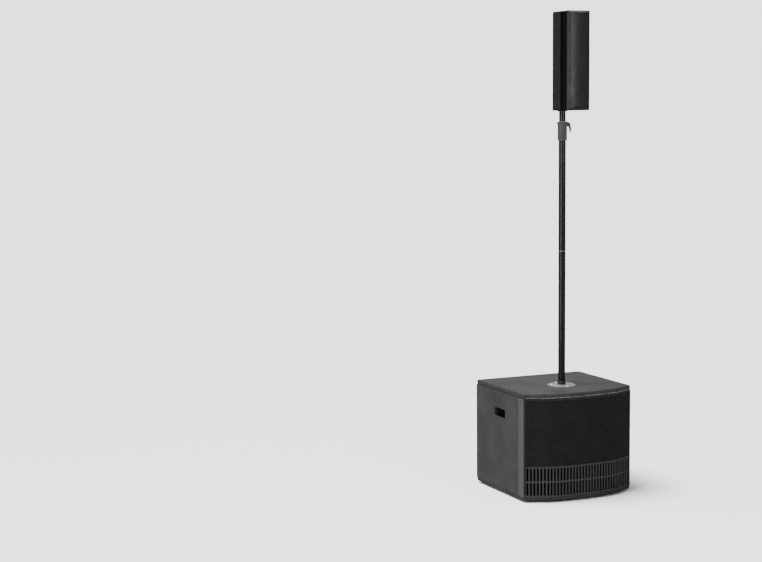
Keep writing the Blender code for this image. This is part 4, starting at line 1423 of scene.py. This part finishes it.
# ---------------------------------------------------------------------- pole
@dataclass
class Pole:
    """Two lower tubes, the clamp with its lever, and the upper tube."""

    workshop: Workshop
    tube_wall: float = 0.0012
    upper_wall: float = 0.002
    chamfer: float = 0.0008
    foot_ring_height: float = 0.020

    def __post_init__(self) -> None:
        """Find the pole's axis."""
        low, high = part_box("pole_middle_tube")
        self.x, self.y, _ = middle_of("pole_middle_tube")
        self.radius = (high.x - low.x) / 2
        self.centre = (self.x, self.y, 0.0)

    def tubes(self) -> None:
        """The fixed lower tubes and the sliding upper tube."""
        low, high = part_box("pole_lower_tube")
        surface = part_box("pole_flange")[1].z + 0.0003
        r, bore, chamfer = self.radius, self.radius - self.tube_wall, self.chamfer
        lower = [(0.0095, low.z), (0.0097, surface), (r - chamfer, surface), (r, surface + chamfer),
                 (r, high.z - chamfer), (r - chamfer, high.z), (bore, high.z), (bore, surface + 0.030)]
        tube = turned("lower_tube", "Z", self.centre, lower, TUBE_PAINT)
        settle(tube, "cabinet", "tube_paint", "pole_lower_tube")
        collar_top = surface + self.foot_ring_height
        collar = [(r + 0.0002, surface), (r + 0.0022, surface), (r + 0.0026, surface + 0.001),
                  (r + 0.0026, collar_top - 0.001), (r + 0.0020, collar_top), (r + 0.0002, collar_top)]
        settle(turned("foot_ring", "Z", self.centre, collar, MOULDED, closed=True), "cabinet", "cap_plastic")
        low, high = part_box("pole_middle_tube")
        middle = [(r - chamfer, low.z), (r, low.z + chamfer), (r, high.z - chamfer), (r - chamfer, high.z),
                  (bore, high.z), (bore, low.z)]
        tube = turned("middle_tube", "Z", self.centre, middle, TUBE_PAINT, closed=True)
        settle(tube, "cabinet", "tube_paint", "pole_middle_tube")
        low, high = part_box("pole_upper_tube")
        r = (high.x - low.x) / 2
        upper = [(r - chamfer, low.z), (r, low.z + chamfer), (r, high.z - chamfer), (r - chamfer, high.z),
                 (r - self.upper_wall, high.z), (r - self.upper_wall, low.z)]
        tube = turned("upper_tube", "Z", self.centre, upper, TUBE_PAINT, closed=True)
        settle(tube, "upper_pole", "tube_paint", "pole_upper_tube")
        low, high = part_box("pole_top_cap")
        plug = r - 0.0023
        profile = [(plug - 0.001, low.z), (plug, low.z + 0.001), (plug, high.z - 0.0047),
                   (r, high.z - 0.0047), (r, high.z - 0.0020), (r - 0.0012, high.z - 0.0006),
                   (r - 0.003, high.z)]
        cap = turned("tube_end_cap", "Z", self.centre, profile, MOULDED)
        settle(cap, "pole_cap", "cap_plastic", "pole_top_cap")

    def clamp(self) -> None:
        """The collar, its bush and the screw boss that the lever turns on."""
        low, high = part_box("clamp_collar")
        r = (high.x - low.x) / 2
        inner = self.radius + 0.0003
        body = r - 0.0025
        profile = [(inner, low.z + 0.001), (inner + 0.001, low.z), (body - 0.001, low.z),
                   (body, low.z + 0.0015), (body, low.z + 0.010), (body - 0.0008, low.z + 0.0115),
                   (body - 0.0008, low.z + 0.0135), (body, low.z + 0.015), (body, high.z - 0.024),
                   (body + 0.0006, high.z - 0.020), (r, high.z - 0.015), (r, high.z - 0.003),
                   (r - 0.0007, high.z - 0.0012), (r - 0.0022, high.z), (inner + 0.001, high.z),
                   (inner, high.z - 0.001)]
        collar = turned("collar_body", "Z", self.centre, profile, CLAMP_NYLON, 72, closed=True)
        axis_z = next(j for j in frame["joints"] if j["name"] == "clamp_lever_turn")["pos_m"][2]
        boss = turned("boss", "X", (self.x, self.y, axis_z), [
            (0.0085, self.radius + 0.004), (0.0085, r - 0.001), (0.0075, r + 0.0003), (0.0045, r + 0.0004)],
            CLAMP_NYLON, 32)
        settle(joined("clamp_body", [collar, boss]), "cabinet", "clamp_plastic", "clamp_collar")
        low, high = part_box("clamp_bush")
        bush_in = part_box("pole_upper_tube")[1].x + 0.0003
        bush = [(bush_in, low.z), (inner - 0.0003, low.z), (inner - 0.0003, high.z - 0.002),
                (inner - 0.0008, high.z - 0.0004), (inner - 0.001, high.z), (bush_in, high.z)]
        settle(turned("clamp_sleeve", "Z", self.centre, bush, NATURAL_NYLON, closed=True), "cabinet", "nylon",
               "clamp_bush")
        self.lever(axis_z, r)

    def lever(self, axis_z: float, collar_radius: float) -> None:
        """A hooked wing lever.

        Args:
            axis_z: the height of its screw.
            collar_radius: the collar's outer radius.
        """
        path = [(0.0286, 0.0095), (0.0330, 0.0098), (0.0372, 0.0085), (0.0405, 0.0045), (0.0432, -0.0030),
                (0.0455, -0.0110), (0.0472, -0.0190), (0.0480, -0.0280), (0.0478, -0.0390)]
        thickness = [0.0070, 0.0095, 0.0105, 0.0105, 0.0090, 0.0078, 0.0072, 0.0068, 0.0050]
        widths = [0.0110, 0.0160, 0.0185, 0.0195, 0.0190, 0.0180, 0.0165, 0.0140, 0.0080]
        loops, sides = [], 16
        for i, (x, z) in enumerate(path):
            along = (Vector(path[min(i + 1, len(path) - 1)]) - Vector(path[max(i - 1, 0)])).normalized()
            normal = Vector((-along.y, along.x))
            ring = []
            for k in range(sides):
                angle = 2 * math.pi * k / sides
                c, s = math.cos(angle), math.sin(angle)
                out = math.copysign(abs(c) ** 0.7, c) * thickness[i] / 2
                wide = math.copysign(abs(s) ** 0.7, s) * widths[i] / 2
                ring.append((self.x + x + out * normal.x, self.y + wide, axis_z + z + out * normal.y))
            loops.append(ring)
        arm = loft("arm", loops, CLAMP_NYLON)
        pivot, start = (self.x, self.y, axis_z), collar_radius
        hub = turned("hub", "X", pivot, [
            (0.0060, start + 0.0008), (0.0088, start + 0.0012), (0.0088, start + 0.0100),
            (0.0078, start + 0.0125), (0.0050, start + 0.0130)], CLAMP_NYLON, 32)
        screw = turned("screw_end", "X", pivot, [
            (0.0040, start + 0.0125), (0.0040, start + 0.0145), (0.0032, start + 0.0152)], ZINC, 24)
        settle(joined("clamp_wing", [arm, hub, screw]), "clamp_lever_body", "clamp_plastic", "clamp_lever")

    def build(self) -> None:
        """Make the pole."""
        self.tubes()
        self.clamp()


# ---------------------------------------------------------------------- satellite
@dataclass
class Satellite:
    """The slim column: shell, caps, bezel, grille, socket and terminal plate."""

    workshop: Workshop
    body: str = "satellite"
    bezel_width: float = 0.0115
    bezel_depth: float = 0.0115
    border: float = 0.012
    channel_depth: float = 0.013
    channel_back: float = -0.093
    corner_y: float = -0.010
    rear_half: float = 0.022
    ridge: float = 0.005
    wall: float = 0.007
    crown: float = 0.0055
    sheet: float = 0.0012
    hole_pitch: float = 0.0046
    hole_radius: float = 0.0015
    socket_hole: float = 0.0229
    socket_bore: float = 0.0180

    def __post_init__(self) -> None:
        """Read the satellite's place from the frame."""
        self.low, self.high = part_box("satellite_bezel")
        self.half = self.high.x
        self.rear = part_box("satellite_shell")[1].y
        self.axis_y = middle_of("pole_middle_tube")[1]
        self.frame_back = self.high.y
        self.front = self.low.y
        self.side_front = self.front + self.bezel_depth

    def plan(self, inner: bool) -> Plan:
        """The shell's plan, with rounded rear edges.

        Args:
            inner: whether it is the inner plan.

        Returns:
            The closed plan.
        """
        w = self.half - (self.wall if inner else 0.0)
        floor = -w + self.channel_depth
        start = self.frame_back + 0.0003
        back = self.axis_y + self.channel_back + (self.wall if inner else 0.0)
        corner = self.axis_y + self.corner_y
        rear = self.rear - (self.wall if inner else 0.0)
        rear_half = self.rear_half - (0.003 if inner else 0.0)
        half = [(floor, start)]
        radii = [0.0]
        if not inner:
            mid = (start + back) / 2
            r = self.ridge
            half += [(floor, mid - r / 2), (floor - r, mid - r / 2),
                     (floor - r, mid + r / 2), (floor, mid + r / 2)]
            radii += [0.0008, 0.0010, 0.0010, 0.0008]
        half += [(floor, back), (-w, back), (-w, corner), (-rear_half, rear)]
        radii += [0.002, 0.002, 0.006, 0.006]
        mirrored = [(-x, y) for x, y in reversed(half)]
        return rounded(half + mirrored, radii + radii[::-1], 4)

    def case(self) -> None:
        """The shell and its two caps."""
        low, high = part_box("satellite_shell")
        outer, inner = self.plan(False), self.plan(True)
        shell = plate("column_shell", "Z", outer + inner[::-1], [], low.z, high.z, SHELL_PLASTIC)
        settle(self.painted_channel_shade(shell), self.body, "shell_plastic", "satellite_shell")
        for label, up in (("top", 1), ("bottom", -1)):
            node = f"satellite_{label}_cap"
            low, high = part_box(node)
            face, seam = (high.z, low.z) if up > 0 else (low.z, high.z)
            levels = [(0.0, seam), (0.0, face - up * 0.0030), (0.0009, face - up * 0.0010), (0.0028, face),
                      (0.0040, face)]
            plans = [(shift_path(outer, -inset, closed=True) if inset else outer, z) for inset, z in levels]
            cap = loft(f"column_{label}", [[(x, y, z) for x, y in plan] for plan, z in plans], SHELL_PLASTIC)
            if up < 0:
                cap = self.bored(cap, self.socket_hole)
            settle(self.painted_channel_shade(cap), self.body, "shell_plastic", node)

    def bored(self, item: bpy.types.Object, radius: float) -> bpy.types.Object:
        """Cut the round hole for the pole socket.

        Args:
            item: the cap, which is used up.
            radius: the hole's radius.

        Returns:
            The cap with its hole.
        """
        low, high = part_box("satellite_bottom_cap")
        profile = [(radius, low.z - 0.02), (radius, high.z + 0.02)]
        cutter = turned("cutter", "Z", (0.0, self.axis_y, 0.0), profile, SHELL_PLASTIC, 48)
        cut = item.modifiers.new("bore", "BOOLEAN")
        cut.operation = "DIFFERENCE"
        cut.object = cutter
        result = baked(item)
        bpy.data.objects.remove(cutter, do_unlink=True)
        return result

    def painted_channel_shade(self, item: bpy.types.Object) -> bpy.types.Object:
        """Paint the faces inside the side channels near-black: painted shade in the recesses.

        Args:
            item: the shell or a cap.

        Returns:
            The same object.
        """
        item.data.materials.append(RECESS_SHADE_PLASTIC.material())
        back = self.axis_y + self.channel_back
        for face in item.data.polygons:
            x, y, _ = face.center
            if y < back + 0.0005 and abs(x) < self.half - 0.0006 and abs(face.normal.z) < 0.5:
                face.material_index = len(item.data.materials) - 1
        return item

    def bezel(self) -> None:
        """The slanted border round the grille."""
        middle = middle_of("satellite_bezel")[2]
        height, width = self.high.z - self.low.z, 2 * self.half
        side, front = self.side_front, self.front
        open_width, open_height = 2 * (self.half - self.bezel_width), height - 2 * self.border
        specs = [(width - 0.001, height - 0.001, 0.003, self.frame_back),
                 (width, height, 0.003, self.frame_back - 0.0006),
                 (width, height, 0.003, side + 0.0012), (width - 0.0008, height - 0.0006, 0.003, side),
                 (width - 0.0030, height - 0.0022, 0.003, side - 0.0012),
                 (open_width + 0.0020, open_height + 0.0020, 0.003, front + 0.0010),
                 (open_width + 0.0006, open_height + 0.0006, 0.002, front + 0.0002),
                 (open_width - 0.0008, open_height - 0.0008, 0.002, front + 0.0002),
                 (open_width - 0.0020, open_height - 0.0020, 0.0015, front + 0.0012),
                 (open_width - 0.0020, open_height - 0.0020, 0.0015, front + 0.0040),
                 (width - 0.0070, height - 0.007, 0.002, side + 0.0022),
                 (width - 0.0070, height - 0.007, 0.002, self.frame_back)]
        loops = [[(u, y, v) for u, v in rectangle(0.0, middle, a, b, r, 4)] for a, b, r, y in specs]
        item = loft("column_bezel", loops, BEZEL_PAINT, closed=True)
        settle(item, self.body, "front_paint", "satellite_bezel")

    def grille(self) -> None:
        """The finely perforated bowed sheet and the cloth behind it."""
        low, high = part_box("satellite_grille")
        half, middle = high.x, middle_of("satellite_grille")[2]
        base = self.front + 0.0025

        def bow(x: float) -> float:
            """Find how far forward the sheet lies.

            Args:
                x: the distance from the middle.

            Returns:
                Its Y.
            """
            return base - self.crown * (1 - min(1.0, abs(x) / half) ** 2)

        flat = self.workshop.perforated(
            "column_grille", 2 * half - 0.001, high.z - low.z - 0.002,
            self.hole_pitch, self.hole_radius, self.sheet, 6, SATELLITE_GRILLE_PAINT)

        def onto_bow(point: Vector) -> Vector:
            """Bend the sheet to its bow.

            Args:
                point: a point of the flat sheet.

            Returns:
                Its place on the bow.
            """
            return Vector((point.x, bow(point.x) + point.z, middle + point.y))

        settle(reshape(flat, onto_bow), self.body, "grille_steel", "satellite_grille")
        steps = 16
        stations = [half * (2 * i / steps - 1) for i in range(steps + 1)]
        front_line = [(x * 0.985, bow(x) + self.sheet + 0.0006) for x in stations]
        plan = front_line + [(x, y + 0.0015) for x, y in front_line[::-1]]
        cloth = plate("column_grille_cloth", "Z", plan, [], low.z + 0.001, high.z - 0.001, FOAM)
        settle(cloth, self.body, "foam")

    def socket(self) -> None:
        """The pole socket with its flange and three screws."""
        low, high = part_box("satellite_pole_socket")
        centre = (0.0, self.axis_y, 0.0)
        bore, under = self.socket_bore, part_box("satellite_bottom_cap")[0].z
        profile = [(bore, high.z - 0.003), (bore, low.z + 0.001), (bore + 0.001, low.z), (0.0262, low.z),
                   (0.0272, low.z + 0.0008), (0.0275, low.z + 0.002), (0.0275, under - 0.0003),
                   (0.0224, under - 0.0003), (0.0224, high.z)]
        settle(turned("column_socket", "Z", centre, profile, MOULDED), self.body, "cap_plastic",
               "satellite_pole_socket")
        points = [(0.0235 * math.cos(a), self.axis_y + 0.0235 * math.sin(a), low.z + 0.0002)
                  for a in (math.pi / 2, math.pi * 7 / 6, math.pi * 11 / 6)]
        screws = self.workshop.screws("socket_screws", "Z", -1, points, 0.0022, BLACK_SCREW)
        settle(screws, self.body, "screw_steel")

    def terminals(self) -> None:
        """The rear plate with two round sockets and corner screws."""
        low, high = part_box("satellite_terminal_plate")
        z = middle_of("satellite_terminal_plate")[2]
        wells = [(0.0, z - 0.022), (0.0, z + 0.022)]
        item = plate("terminal_plate", "Y", rectangle(0.0, z, high.x - low.x, high.z - low.z, 0.005),
                     [circle_plan(x, v, 0.0105) for x, v in wells], low.y, high.y, MOULDED, 0.0005)
        settle(item, self.body, "terminal_plastic", "satellite_terminal_plate")
        parts = []
        for x, v in wells:
            parts.append(turned("rim", "Y", (x, 0.0, v), [
                (0.0103, high.y - 0.002), (0.0103, high.y - 0.0002), (0.0118, high.y + 0.0002),
                (0.0118, high.y + 0.0010), (0.0110, high.y + 0.0015), (0.0094, high.y + 0.0012),
                (0.0090, low.y + 0.0004), (0.0098, low.y + 0.0003)], MOULDED, 40, closed=True))
            parts.append(turned("core", "Y", (x, 0.0, v), [
                (0.0062, low.y + 0.0003), (0.0062, high.y + 0.0002), (0.0052, high.y + 0.0008)], MOULDED, 32))
            # A near-black disc at the back of each socket well: painted shade.
            parts.append(turned("well", "Y", (x, 0.0, v), [
                (0.0092, low.y + 0.0001), (0.0092, low.y + 0.0005)], RECESS_SHADE_PLASTIC, 32))
        settle(joined("terminal_sockets", parts), self.body, "terminal_plastic")
        points = [(sx * 0.0185, high.y, z + dz) for sx in (-1, 1) for dz in (-0.0445, 0.0445)]
        screws = self.workshop.screws("terminal_screws", "Y", 1, points, 0.0027, BLACK_SCREW)
        settle(screws, self.body, "screw_steel")

    def build(self) -> None:
        """Make the column."""
        self.case()
        self.bezel()
        self.grille()
        self.socket()
        self.terminals()


# ---------------------------------------------------------------------- carried-over nodes
CARRIED: dict[str, tuple[Finish, tuple[str, ...]]] = {
    "board": (BOARD_EDGE, ("sub_baffle", "sub_port_shelf")),
    "foam": (FOAM, ("grille_foam",)),
    "basket": (CAST_FRAME, ("woofer_basket", "satellite_driver_1", "satellite_driver_2",
                            "satellite_driver_3")),
    "magnet": (MAGNET, ("woofer_magnet", "pole_joint_spigot")),
    "cone": (CONE_PAPER, ("woofer_cone", "satellite_cone_1", "satellite_cone_2", "satellite_cone_3")),
    "roll": (RUBBER, ("woofer_surround",)),
    "plate": (ANODISED, ("amp_plate",)),
    "circuit": (RESIST, ("amp_circuit_board",)),
    "winding": (WINDING, ("amp_transformer",)),
    "moulding": (MOULDED, ("phase_button", "power_rocker", "line_socket_strip", "speaker_socket_strip",
                           "mains_inlet", "satellite_horn")),
    "inner_board": (SHELL_PLASTIC, ("satellite_baffle",)),
}


def dress_carried_nodes() -> None:
    """Give each frame node that stays its finish."""
    for finish, nodes in CARRIED.values():
        for node in nodes:
            item = frame["nodes"][node]
            item.data.materials.clear()
            item.data.materials.append(finish.material())


# ---------------------------------------------------------------------- studio
@dataclass(frozen=True)
class SoftSun:
    """A far, broad light from one direction."""

    name: str
    towards: tuple[float, float, float]
    strength: float
    spread_deg: float

    def build(self) -> None:
        """Add the light to the scene."""
        light = bpy.data.lights.new(self.name, "SUN")
        light.energy = self.strength
        light.angle = math.radians(self.spread_deg)
        item = bpy.data.objects.new(self.name, light)
        item.rotation_euler = Vector(self.towards).to_track_quat("-Z", "Y").to_euler()
        bpy.context.scene.collection.objects.link(item)


@dataclass(frozen=True)
class Softbox:
    """One large soft light that faces a point."""

    name: str
    place: tuple[float, float, float]
    aim: tuple[float, float, float]
    size: tuple[float, float]
    power: float

    def build(self) -> None:
        """Add the light to the scene."""
        light = bpy.data.lights.new(self.name, "AREA")
        light.shape = "RECTANGLE"
        light.size, light.size_y = self.size
        light.energy = self.power
        item = bpy.data.objects.new(self.name, light)
        item.location = self.place
        item.rotation_euler = (Vector(self.aim) - Vector(self.place)).to_track_quat("-Z", "Y").to_euler()
        bpy.context.scene.collection.objects.link(item)


@dataclass(frozen=True)
class Studio:
    """The pale floor, the soft lights and the camera."""

    camera_place: tuple[float, float, float] = (-4.2217, -7.2891, 1.9968)
    heading: float = 0.41273
    pitch: float = 0.10191
    roll: float = -0.00889
    lens_mm: float = 73.91
    ambient: float = 0.4
    backdrop: float = 2.5

    def floor(self) -> None:
        """A wide pale floor."""
        bm = bmesh.new()
        bmesh.ops.create_grid(bm, x_segments=1, y_segments=1, size=300.0)
        finish = Finish("studio_floor", (0.92, 0.92, 0.92), 0.9, mottle=0.0, grain_depth=0.0, specular=0.05,
                        roughness_swing=0.0)
        floor = new_item("studio_floor", bm, finish)
        for vert in floor.data.vertices:
            vert.co.z = -0.0002
        floor.visible_glossy = False

    def lights(self) -> None:
        """A pale surround, a broad key light from above and three soft boxes."""
        world = bpy.data.worlds.new("studio")
        world.use_nodes = True
        board = NodeBoard(world.node_tree)
        seen = board.add("ShaderNodeLightPath").outputs["Is Camera Ray"]
        strength = board.add("ShaderNodeMapRange", {
            "Value": seen, "To Min": self.ambient, "To Max": self.backdrop}).outputs["Result"]
        surround = world.node_tree.nodes["Background"]
        surround.inputs["Color"].default_value = (1.0, 1.0, 1.0, 1.0)
        world.node_tree.links.new(strength, surround.inputs["Strength"])
        bpy.context.scene.world = world
        SoftSun("key_light", (0.34, -0.10, -0.93), 8.2, 35.0).build()
        Softbox("left_box", (-4.6, -2.2, 1.9), (0.0, 0.0, 1.5), (0.9, 3.4), 90.0).build()
        Softbox("top_box", (0.9, -0.05, 4.5), (0.0, -0.15, 2.55), (0.4, 0.4), 12.0).build()
        Softbox("front_box", (1.0, -5.5, 2.9), (0.0, 0.0, 2.2), (0.7, 2.6), 60.0).build()

    def camera(self) -> None:
        """The camera at the reference angle."""
        ahead = Vector((math.sin(self.heading) * math.cos(self.pitch),
                        math.cos(self.heading) * math.cos(self.pitch), -math.sin(self.pitch)))
        level = Vector((math.cos(self.heading), -math.sin(self.heading), 0.0))
        above = level.cross(ahead)
        right = level * math.cos(self.roll) + above * math.sin(self.roll)
        up = above * math.cos(self.roll) - level * math.sin(self.roll)
        turn = Matrix((right, up, -ahead)).transposed()
        data = bpy.data.cameras.new("camera")
        data.sensor_width = 36.0
        data.lens = self.lens_mm
        data.clip_end = 200.0
        item = bpy.data.objects.new("camera", data)
        item.matrix_world = Matrix.Translation(self.camera_place) @ turn.to_4x4()
        bpy.context.scene.collection.objects.link(item)
        bpy.context.scene.camera = item

    def build(self) -> None:
        """Set up the studio."""
        self.floor()
        self.lights()
        self.camera()


def main() -> None:
    """Build the loudspeaker's looks in order."""
    logging.basicConfig(level=logging.INFO, format="%(message)s")
    Studio().build()
    workshop = Workshop()
    cabinet = Cabinet(workshop)
    cabinet.build()
    Front(workshop, cabinet).build()
    Amplifier(workshop).build()
    Pole(workshop).build()
    Satellite(workshop).build()
    dress_carried_nodes()


if __name__ == "__main__":
    main()
